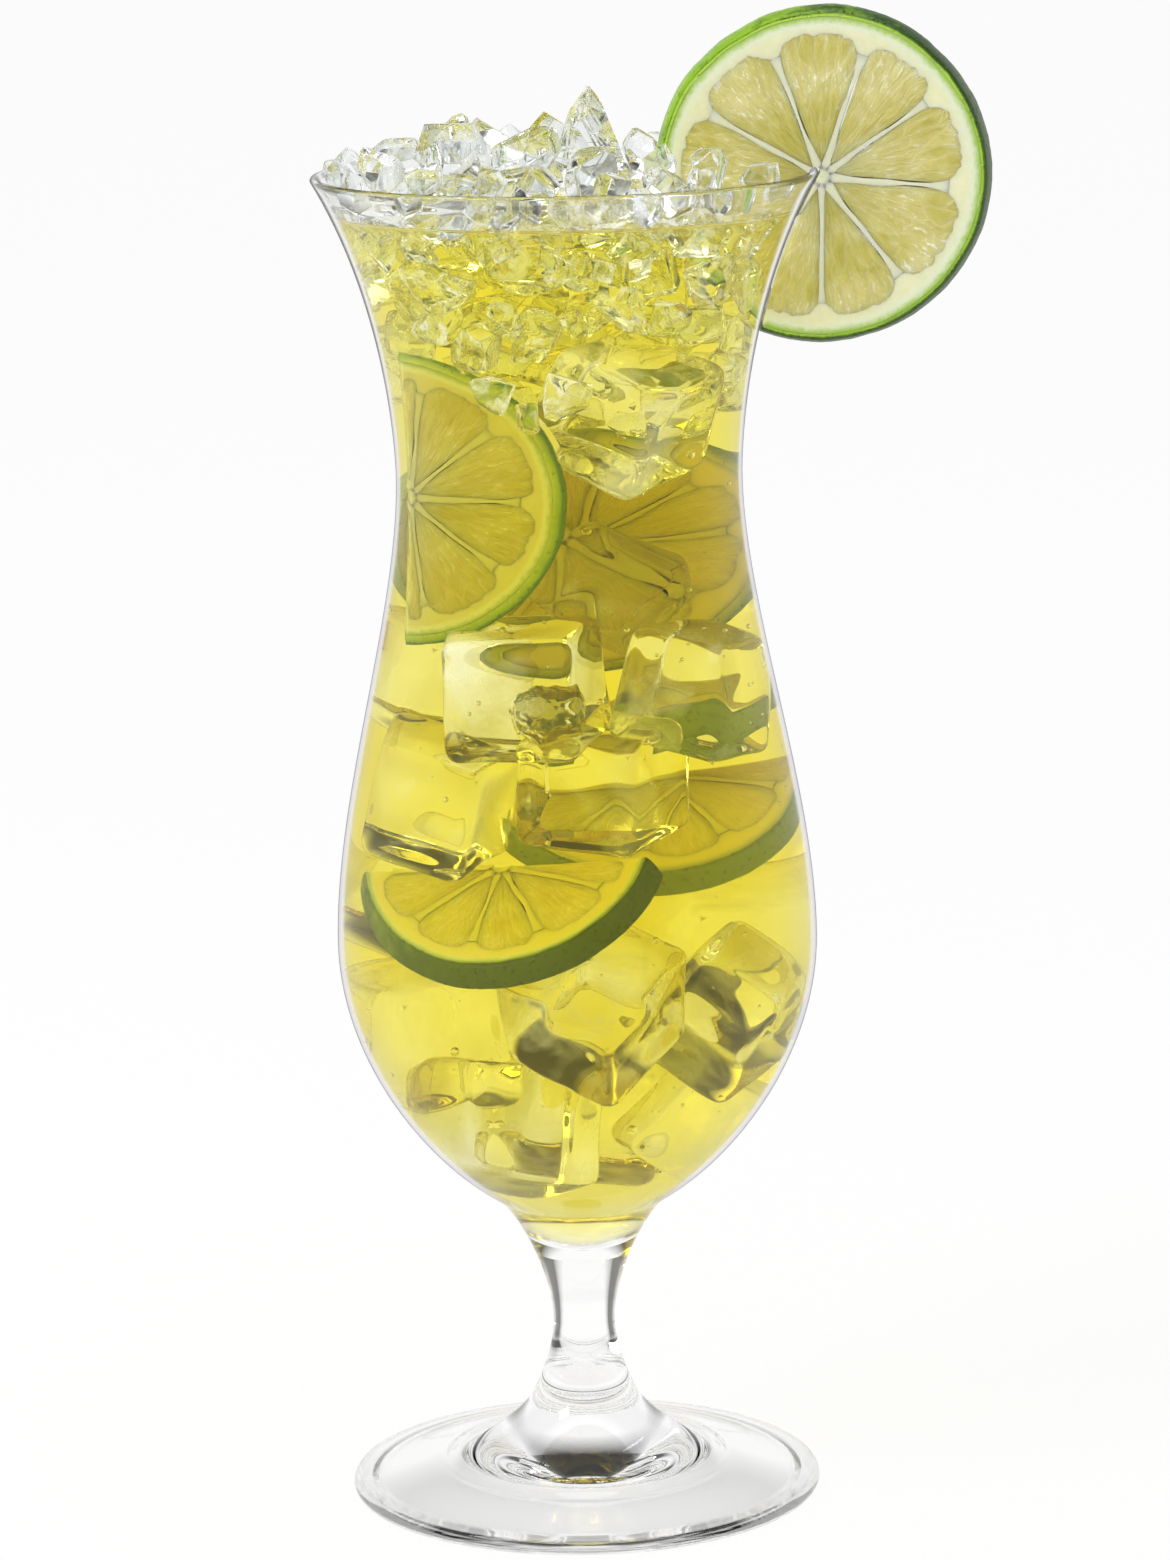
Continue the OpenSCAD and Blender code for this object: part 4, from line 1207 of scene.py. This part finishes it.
rooms = {prefix: sliceRoom(where, r, sliceSize["thick"], arc, iceShape["gap"])
         for prefix, (where, r, arc) in sliceFrames.items()}
cubes = []
for number, (node, (share, size, turn)) in enumerate(iceCubes.items()):
    points, faces, contour = roundedCube(cubeEdge * size, iceShape, number)
    where = cubeFrame(share, turn)
    cube = meshObject(camel(node), [keepInside(where @ p, iceShape["gap"]) for p in points], faces)
    pointAttribute(cube.data, "contour", contour)
    fixNormals(cube.data)
    close = [room for prefix, room in rooms.items() if near(place(share), cubeEdge * size * 0.8, prefix)]
    if close:
        carve(cube, *close)
    smooth(cube.data, 40)
    dress(cube, "root", "ice", [wetIceMat], node)
    cubes.append(cube)
for room in rooms.values():
    bpy.data.objects.remove(room)

print("crushed ice")
crushed = {
    "shapes": 24, "seed": 4, "bevel": 0.10, "rounds": 1, "gap": 0.12, "cuts": (6, 9),
    # bounding radius, number of tries, how far the tops may stand over the rim in the middle
    "sizes": ((5.8, 900, 1.0), (4.8, 1560, 3.0), (3.9, 2160, 4.5), (3.1, 1200, 3.0)),
    "lowest": 172.0, "uneven": 5.0,   # where the ice ends in the drink, and how much that varies
    "settle": 0.6, "settles": 12,     # a chip near the top sinks by so much, so many times at most
    "settleFrom": 3, "settleTo": 6,   # millimetres under the drink's top
    "field": 36, "under": 3, "vary": (0.9, 1.1),
    "wallGap": 0.25, "crowding": 0.55, "wallShare": 0.5, "topShare": 0.7,
}
lumps = {
    "shapes": 16, "seed": 21, "bevel": 0.17, "rounds": 3, "cuts": (9, 13),
    "tries": 160, "shrink": 0.94, "shrinkEvery": 20, "shift": (0.8, 0.8, 0.5),
    # x, y, z of the middle and the bounding radius of the lumps that make the heap's outline
    "places": ((-17.5, -10, 211.2, 6.6), (-5.5, -12, 211.0, 6.8), (3.6, -13, 208.8, 6.4),
               (-27.5, -12, 209.0, 4.9), (-33.4, -6, 208.0, 3.4), (-25.0, 5, 209.6, 4.8),
               (14.6, -14, 209.0, 4.2), (-19.5, -23, 208.2, 4.8), (-11.5, -25, 207.4, 4.4),
               (-2.5, -26.5, 207.2, 4.8), (7.0, -26, 207.0, 4.2), (15.5, -23, 206.8, 4.0),
               (-11.5, 4, 210.0, 5.6), (-1.0, 14, 209.6, 5.6), (12.0, 16, 208.8, 5.0),
               (-16.0, 17, 209.2, 5.6), (-26.0, 20, 207.8, 4.6), (-8.0, 26, 208.2, 5.0),
               (4.0, 28, 207.8, 4.6), (16.0, 27, 207.4, 4.2), (14.5, 5, 209.0, 4.8),
               (22.5, -11.5, 207.8, 4.4), (23.5, 15, 207.4, 4.4), (28.5, -14, 206.8, 3.6),
               (-32.0, 7, 207.6, 3.8), (27.0, 21.5, 206.8, 3.6), (20.5, -20.5, 206.9, 3.8)),
}
chipCutting = {                  # of a cube that is 1.5 wide, which is then drawn out
    "cube": 1.5, "planes": (0.50, 0.80), "stretch": ((0.8, 1.15), (0.8, 1.15), (0.7, 1.0)), "weld": 0.04,
}
peakSize = {"edge": 10.0, "height": 13.8, "place": (0.09, -0.08), "turn": 25, "bevel": 0.4,
            "cuts": 7, "reach": (3.2, 4.4), "lean": (-0.1, 0.55), "seed": 5}


# convex chips: a cube cut flat by random planes, with its edges broken
def chipShapes(v):
    rng = random.Random(v["seed"])
    shapes = []
    for k in range(v["shapes"]):
        bm = bmesh.new()
        bmesh.ops.create_cube(bm, size=chipCutting["cube"])
        for c in range(rng.randint(*v["cuts"])):
            d = Vector((rng.gauss(0, 1), rng.gauss(0, 1), rng.gauss(0, 1))).normalized()
            bmesh.ops.bisect_plane(bm, geom=bm.verts[:] + bm.edges[:] + bm.faces[:],
                                   plane_co=d * rng.uniform(*chipCutting["planes"]), plane_no=d,
                                   clear_outer=True)
            cut = [e for e in bm.edges if e.is_boundary]
            if cut:
                bmesh.ops.holes_fill(bm, edges=cut)
        stretch = Vector([rng.uniform(*share) for share in chipCutting["stretch"]])
        for vert in bm.verts:
            vert.co = vert.co * stretch
        bmesh.ops.remove_doubles(bm, verts=bm.verts, dist=chipCutting["weld"])
        bmesh.ops.bevel(bm, geom=bm.edges[:], offset=v["bevel"], segments=v["rounds"], affect="EDGES",
                        clamp_overlap=True, profile=0.5)
        bmesh.ops.recalc_face_normals(bm, faces=bm.faces)
        big = max(vert.co.length for vert in bm.verts)
        for vert in bm.verts:
            vert.co /= big
        verts = np.array([vert.co for vert in bm.verts])
        normals = np.array([f.normal for f in bm.faces if f.calc_area() > 0.02])
        mesh = newMesh("chip%02d" % k, bm)
        smooth(mesh, 30)
        shapes.append((mesh, verts, normals))
    return shapes


# two convex bodies are apart if a face of one of them lies between them
def apart(a, b, gap):
    for one, other in ((a, b), (b, a)):
        pa = (one[0] @ one[1].T).max(axis=0)
        pb = (other[0] @ one[1].T).min(axis=0)
        if (pb - pa).max() > gap:
            return True
    return False


# the points' convex hull: its corners, face normals, middle and bounding radius
def convex(points):
    bm = bmesh.new()
    for p in points:
        bm.verts.new(p)
    bmesh.ops.convex_hull(bm, input=bm.verts)
    verts = np.array([v.co for v in bm.verts])
    faces = [f for f in bm.faces if f.calc_area() > 1e-4]
    normals = np.array([f.normal for f in faces])
    middle = verts.mean(axis=0)
    for i, f in enumerate(faces):
        if (np.array(f.calc_center_median()) - middle) @ normals[i] < 0:
            normals[i] = -normals[i]
    bm.free()
    return verts, normals, middle, np.linalg.norm(verts - middle, axis=1).max()


def discPoints(where, r, t, angles):
    return [where @ Vector((r * math.cos(a), r * math.sin(a), z)) for a in angles for z in (-t, t)]


# the lump on top of the heap is a cube that stands on a corner
def peakPoints(p):
    s = p["edge"] / 2
    x, y = (share * glassSizes["rimRadius"] for share in p["place"])
    where = (Matrix.Translation((x, y, glassSizes["height"] + p["height"] - s * math.sqrt(3)))
             @ turned((0, 0, p["turn"])) @ Euler((0, math.acos(1 / math.sqrt(3)), 0)).to_matrix().to_4x4()
             @ turned((0, 0, 45)))
    return cubeCorners(where, s)


# what the chips keep clear of, with the way that the garnish is drawn off
def obstacles():
    found = []
    for node in ("ice_cube_upper_front", "ice_cube_waist"):
        share, size, turn = iceCubes[node]
        found.append(convex(cubeCorners(cubeFrame(share, turn), cubeEdge * size / 2)))
    for prefix in ("upper_slice", "waist_wheel"):
        where, r, arc = sliceFrames[prefix]
        found.append(convex(discPoints(where, r, sliceSize["thick"] / 2, arcAngles(arc, 24))))
    lift = turned((0, garnish["lean"], 0)).to_3x3() @ Vector((0, 0, garnish["lift"]))
    wheel = discPoints(whereGarnish, garnish["radius"] + garnish["room"], garnish["thick"] / 2 + garnish["room"],
                       [2 * math.pi * k / 24 for k in range(24)])
    found.append(convex([q for p in wheel for q in (p, p + lift)]))
    found.append(convex(peakPoints(peakSize)))
    return found


def placeChips(shapes, v, lumpShapes, big):
    rng = random.Random(v["seed"] + 1)
    walls = sorted((p.y, p.x) for p in innerLine)
    wallZ = np.array([w[0] for w in walls])
    wallR = np.array([w[1] for w in walls])
    solid = obstacles()
    placed, centres, radii = [], np.zeros((0, 3)), np.zeros(0)

    def bottom(x, y):
        return v["lowest"] + v["uneven"] * noise.noise(Vector((x / 9.0, y / 9.0, 3.0)))

    def top(x, y, heap):
        return glassSizes["height"] + heap * (1 - (math.hypot(x, y) / glassSizes["rimRadius"]) ** 3)

    def keep(points, normals, shape, turn, r, centre):
        nonlocal centres, radii
        placed.append((points + centre, normals, shape, tuple(turn), r))
        centres = np.vstack([centres, centre])
        radii = np.append(radii, r)

    def anyTurn():
        return Euler((rng.uniform(0, 6.28), rng.uniform(0, 6.28), rng.uniform(0, 6.28)))

    def formed(form, turn, r):
        m = np.array(turn.to_matrix())
        return form[1] @ m.T * r, form[2] @ m.T

    def fits(points, normals, centre, r):
        flat = np.hypot(points[:, 0], points[:, 1])
        if (flat > np.interp(np.minimum(points[:, 2], wallZ[-1]), wallZ, wallR) - v["wallGap"]).any():
            return False
        for verts, faces, middle, reach in solid:
            if (np.linalg.norm(centre - middle) < reach + r
                    and not apart((points, normals), (verts, faces), v["gap"])):
                return False
        if len(radii):
            dist = np.linalg.norm(centres - centre, axis=1)
            close = np.nonzero(dist < radii + r)[0]
            if (dist[close] < v["crowding"] * (radii[close] + r)).any():
                return False
            for i in close[np.argsort(dist[close])]:
                if not apart((points, normals), placed[i][:2], v["gap"]):
                    return False
        return True
    for number, (x, y, z, r) in enumerate(big["places"]):
        shape = number % len(lumpShapes)
        for k in range(big["tries"]):
            if (k + 1) % big["shrinkEvery"] == 0:
                r *= big["shrink"]
            turn = anyTurn()
            points, normals = formed(lumpShapes[shape], turn, r)
            centre = np.array([c + rng.uniform(-d, d) for c, d in zip((x, y, z), big["shift"])])
            if fits(points + centre, normals, centre, r):
                keep(points, normals, len(shapes) + shape, turn, r, centre)
                break
    for size, tries, heap in v["sizes"]:
        for k in range(tries):
            x, y = rng.uniform(-v["field"], v["field"]), rng.uniform(-v["field"], v["field"])
            z = rng.uniform(v["lowest"] - v["under"], glassSizes["height"] + heap)
            r = size * rng.uniform(*v["vary"])
            shape = rng.randrange(len(shapes))
            turn = anyTurn()
            if (math.hypot(x, y) > innerRadius(z) - v["wallShare"] * r or z < bottom(x, y)
                    or z > top(x, y, heap) - v["topShare"] * r):
                continue
            points, normals = formed(shapes[shape], turn, r)
            centre = np.array((x, y, z))
            if not fits(points + centre, normals, centre, r):
                continue
            if z > drinkTop - v["settleFrom"]:
                for drop in range(v["settles"]):
                    lower = centre - np.array((0, 0, v["settle"]))
                    if lower[2] < drinkTop - v["settleTo"] or not fits(points + lower, normals, lower, r):
                        break
                    centre = lower
            keep(points, normals, shape, turn, r, centre)
    return placed, centres


# an instance of one of the shapes on each point, turned and scaled by the point's attributes
def chipTree():
    tree = bpy.data.node_groups.new("scatterChips", "GeometryNodeTree")
    for key in ("Geometry", "Shapes", "Material", "Size"):
        kind = {"Shapes": "Collection", "Size": "Float"}.get(key, key)
        tree.interface.new_socket(key, in_out="INPUT", socket_type="NodeSocket" + kind)
    tree.interface.items_tree["Size"].default_value = 1.0
    tree.interface.new_socket("Geometry", in_out="OUTPUT", socket_type="NodeSocketGeometry")
    start = tree.nodes.new("NodeGroupInput").outputs

    def named(name, kind):
        return add(tree, "GeometryNodeInputNamedAttribute", {"Name": name}, data_type=kind).outputs[0]
    shapes = add(tree, "GeometryNodeCollectionInfo", {"Collection": start["Shapes"], "Separate Children": True,
                                                      "Reset Children": True})
    turn = add(tree, "FunctionNodeEulerToRotation", {0: named("turn", "FLOAT_VECTOR")})
    chips = add(tree, "GeometryNodeInstanceOnPoints", {
        "Points": start["Geometry"], "Instance": shapes.outputs["Instances"], "Pick Instance": True,
        "Instance Index": named("shape", "INT"), "Rotation": turn.outputs[0],
        "Scale": product(tree, named("radius", "FLOAT"), start["Size"])})
    real = add(tree, "GeometryNodeRealizeInstances", {0: chips.outputs[0]})
    painted = add(tree, "GeometryNodeSetMaterial", {"Geometry": real.outputs[0], "Material": start["Material"]})
    add(tree, "NodeGroupOutput", {0: painted.outputs[0]})
    return tree


# items are place, number of the shape, turn and radius
def scatter(name, tree, shapes, items, material, size=1.0):
    mesh = bpy.data.meshes.new(name)
    mesh.from_pydata([tuple(Vector(c) * mm) for c, *rest in items], [], [])
    for key, kind, field, values in (("shape", "INT", "value", [i[1] for i in items]),
                                     ("turn", "FLOAT_VECTOR", "vector", [c for i in items for c in i[2]]),
                                     ("radius", "FLOAT", "value", [i[3] * mm for i in items])):
        mesh.attributes.new(key, kind, "POINT").data.foreach_set(field, values)
    ob = linked(name, mesh)
    mod = ob.modifiers.new("scatter", "NODES")
    mod.node_group = tree
    given = {"Shapes": shapes, "Material": material, "Size": size}
    for item in tree.interface.items_tree:
        if item.in_out == "INPUT" and item.name in given:
            mod[item.identifier] = given[item.name]
    freeze(ob)
    return ob


def shapeCollection(name, meshes):
    col = bpy.data.collections.new(name)
    for k, mesh in enumerate(meshes):
        col.objects.link(bpy.data.objects.new("%s%02d" % (name, k), mesh))
    return col


def dropCollection(col):
    for ob in list(col.objects):
        bpy.data.objects.remove(ob)
    bpy.data.collections.remove(col)


chipForms = chipShapes(crushed)
lumpForms = chipShapes(lumps)
chips, chipCentres = placeChips(chipForms, crushed, lumpForms, lumps)
print("crushed ice pieces", len(chips))
chipCol = shapeCollection("chipForm", [form[0] for form in chipForms + lumpForms])
scatterTree = chipTree()
chipItems = [(tuple(c), *chip[2:]) for c, chip in zip(chipCentres, chips)]
# the heights between which each node's chips have their middles
layers = {"crushed_ice_lower": (0, 184.5, wetChipMat), "crushed_ice_upper": (184.5, 200.5, wetChipMat),
          "crushed_ice_surface": (200.5, 207.5, dryIceMat), "crushed_ice_heap": (207.5, 300, dryIceMat)}
for node, (lo, hi, mat) in layers.items():
    items = [i for i in chipItems if lo <= i[0][2] < hi]
    dress(scatter(camel(node), scatterTree, chipCol, items, mat), "root", "crushed_ice", [], node)
# a hair larger than the chips, so that the drink's cavities don't touch them
cutItems = [i for i in chipItems if i[0][2] < drinkTop + 6]
chipCutter = scatter("chipCutter", scatterTree, chipCol, cutItems, wetIceMat, 1.006)
dropCollection(chipCol)


# the peak is cut by planes all round, so that it is no plain cube
def makePeak(p):
    rng = random.Random(p["seed"])
    corners = peakPoints(p)
    middle = sum(corners, Vector()) / 8
    bm = bmesh.new()
    for corner in corners:
        bm.verts.new(corner * mm)
    bmesh.ops.convex_hull(bm, input=bm.verts)
    bmesh.ops.dissolve_limit(bm, angle_limit=0.05, verts=bm.verts, edges=bm.edges)
    for number in range(p["cuts"]):
        angle = 2 * math.pi * (number + rng.uniform(-0.3, 0.3)) / p["cuts"]
        away = Vector((math.cos(angle), math.sin(angle), rng.uniform(*p["lean"]))).normalized()
        bmesh.ops.bisect_plane(bm, geom=bm.verts[:] + bm.edges[:] + bm.faces[:], clear_outer=True,
                               plane_co=(middle + away * rng.uniform(*p["reach"])) * mm, plane_no=away)
        bmesh.ops.holes_fill(bm, edges=[e for e in bm.edges if e.is_boundary])
    bmesh.ops.bevel(bm, geom=bm.edges[:], offset=p["bevel"] * mm, segments=2, affect="EDGES")
    dress(linked("icePeak", newMesh("icePeak", bm)), "root", "ice", [dryIceMat], "ice_peak")


makePeak(peakSize)

print("drink")
drinkShape = {
    "wet": 0.05, "climb": 0.45, "creep": 1.3, "around": 160, "ice": 0.04,
    # points of the surface: shares of its radius, then of the way up the edge
    "flat": (0.4, 0.7, 0.85, 0.92), "edge": (0.25, 0.5, 0.7, 0.85, 0.95),
}


# the cubes, a hair larger, as one body that cuts their cavities
def makeCubeCutter(grow):
    bm = bmesh.new()
    for cube in cubes:
        bm.from_mesh(cube.data)
    bm.normal_update()
    for vert in bm.verts:
        vert.co += vert.normal * grow * mm
    ob = linked("cubeCutter", newMesh("cubeCutter", bm))
    ob.data.materials.append(wetIceMat)
    return ob


# the drink wets the glass: its skin lies a hair inside the wall, and it climbs a little at the edge
def makeDrink(v):
    wet, climb = v["wet"], v["climb"]
    edgeRadius = innerRadius(drinkTop)
    line = [Vector((0, drinkTop))] + [Vector((edgeRadius * r, drinkTop)) for r in v["flat"]]
    line += [Vector((edgeRadius - v["creep"] * (1 - t), drinkTop + climb * t ** 3)) for t in v["edge"]]
    line.append(Vector((innerRadius(drinkTop + climb) + wet, drinkTop + climb)))
    side = [p for p in innerLine if p.y < drinkTop]
    line += [Vector((p.x + wet, p.y)) for p in side[:-1]] + [Vector((0, glassSizes["floorZ"] - wet))]
    ob = revolve("drink", line, v["around"])
    ob.data.materials.append(drinkMat)
    cubeCutter = makeCubeCutter(v["ice"])
    carve(ob, cubeCutter, chipCutter, transfer=True)
    bpy.data.objects.remove(cubeCutter)
    bpy.data.objects.remove(chipCutter)
    layer = ob.data.attributes.new("cavity", "FLOAT", "FACE")
    index = np.zeros(len(ob.data.polygons), dtype=np.int32)
    ob.data.polygons.foreach_get("material_index", index)
    kinds = [0.0 if m is drinkMat else 1.0 for m in ob.data.materials]
    layer.data.foreach_set("value", [kinds[i] for i in index])
    print("drink faces", len(index), "of them in cavities", int(sum(kinds[i] for i in index)))
    ob.data.materials.clear()
    ob.data.polygons.foreach_set("material_index", np.zeros(len(index), dtype=np.int32))
    smooth(ob.data, 50)
    dress(ob, "root", "drink", [drinkMat], "drink")


makeDrink(drinkShape)

print("air pocket")
# the cube in the middle has frozen round a lump of froth
pocket = {"cube": "ice_cube_centre", "place": (3.9, -2.0, -3.4), "size": (4.4, 3.2, 4.4), "ior": 0.78,
          "rough": 0.176, "lumps": ((1.6, 1.0), (4.2, 0.5), (9.0, 0.22)), "tint": (0.55, 0.54, 0.28),
          "edge": 0.2, "edgeFrom": 0.3}


def ball(subdivisions):
    bm = bmesh.new()
    bmesh.ops.create_icosphere(bm, subdivisions=subdivisions, radius=1.0)
    return bm


def makePocket(v):
    share, size, turn = iceCubes[v["cube"]]
    where = cubeFrame(share, turn)
    bm = ball(5)
    for vert in bm.verts:
        p = vert.co.copy()
        p *= 1 + v["rough"] * sum(share * noise.noise(p * scale) for scale, share in v["lumps"])
        inCube = Vector((p.x * v["size"][0], p.y * v["size"][1], p.z * v["size"][2])) + Vector(v["place"])
        vert.co = (where @ inCube) * mm
    ob = linked("airPocket", newMesh("airPocket", bm))
    smooth(ob.data, 60)
    froth = clearMaterial("frothInIce", v["ior"], tint=v["tint"], edge=v["edge"], edgeFrom=v["edgeFrom"])[0]
    dress(ob, "root", "ice", [froth])


makePocket(pocket)

print("bubbles")
bubbles = {
    "seed": 9, "onIce": 150, "onWall": 60, "atTop": 130, "adrift": 70,
    "smallest": 0.16, "largest": 0.75, "ior": 0.75,
    "wallSize": 0.6, "topSize": 0.8, "adriftSize": 0.6,
    "wallFrom": 60, "wallTo": 190, "adriftTo": 175, "topDepth": 5,
    "overIce": 0.06, "intoIce": 0.9, "wallGap": 0.02,
}


# air bubbles: on the cubes, on the glass, round the drink's edge and a few adrift
def bubbleItems(v):
    rng = random.Random(v["seed"])
    items = []

    def size():
        return v["smallest"] + (v["largest"] - v["smallest"]) * rng.random() ** 3

    def outward(reach, a, z):
        return Vector((reach * math.cos(a), reach * math.sin(a), z))
    for k in range(v["onIce"]):
        cube = rng.choice(cubes)
        face = cube.data.polygons[rng.randrange(len(cube.data.polygons))]
        r = size()
        items.append((Vector(face.center) / mm + Vector(face.normal) * (r + v["overIce"]), r))
    for k in range(v["onWall"] + v["atTop"]):
        top = k >= v["onWall"]
        r = size() * v["topSize" if top else "wallSize"]
        z = drinkTop - rng.random() ** 2 * v["topDepth"] - r if top else rng.uniform(v["wallFrom"], v["wallTo"])
        a = rng.uniform(0, 2 * math.pi)
        items.append((outward(innerRadius(z) - r * 1.15, a, z), r))
    for k in range(v["adrift"]):
        z = rng.uniform(v["wallFrom"], v["adriftTo"])
        a, reach = rng.uniform(0, 2 * math.pi), innerRadius(z) * rng.uniform(0.5, 0.95)
        items.append((outward(reach, a, z), size() * v["adriftSize"]))
    kept = []
    for p, r in items:
        free = math.hypot(p.x, p.y) + r < innerRadius(p.z) - v["wallGap"] and p.z < drinkTop - r
        for share, edge, turn in iceCubes.values():
            seen = cubeFrame(share, turn).inverted() @ p
            free = free and max(abs(c) for c in seen) > cubeEdge * edge / 2 - v["intoIce"]
        for where, radius, arc in sliceFrames.values():
            seen = where.inverted() @ p
            free = free and not (math.hypot(seen.x, seen.y) < radius + r
                                 and abs(seen.z) < sliceSize["thick"] / 2 + r)
        if free and all((p - q).length > r + s for q, s in kept):
            kept.append((p, r))
    return kept


bubbleMesh = newMesh("bubbleForm", ball(2))
smooth(bubbleMesh, 60)
bubbleCol = shapeCollection("bubbleForm", [bubbleMesh])
airMat = clearMaterial("airBubble", bubbles["ior"])[0]
floating = [(tuple(p), 0, (0, 0, 0), r) for p, r in bubbleItems(bubbles)]
print("bubbles kept", len(floating))
dress(scatter("bubbles", scatterTree, bubbleCol, floating, airMat), "root", "drink", [])
dropCollection(bubbleCol)
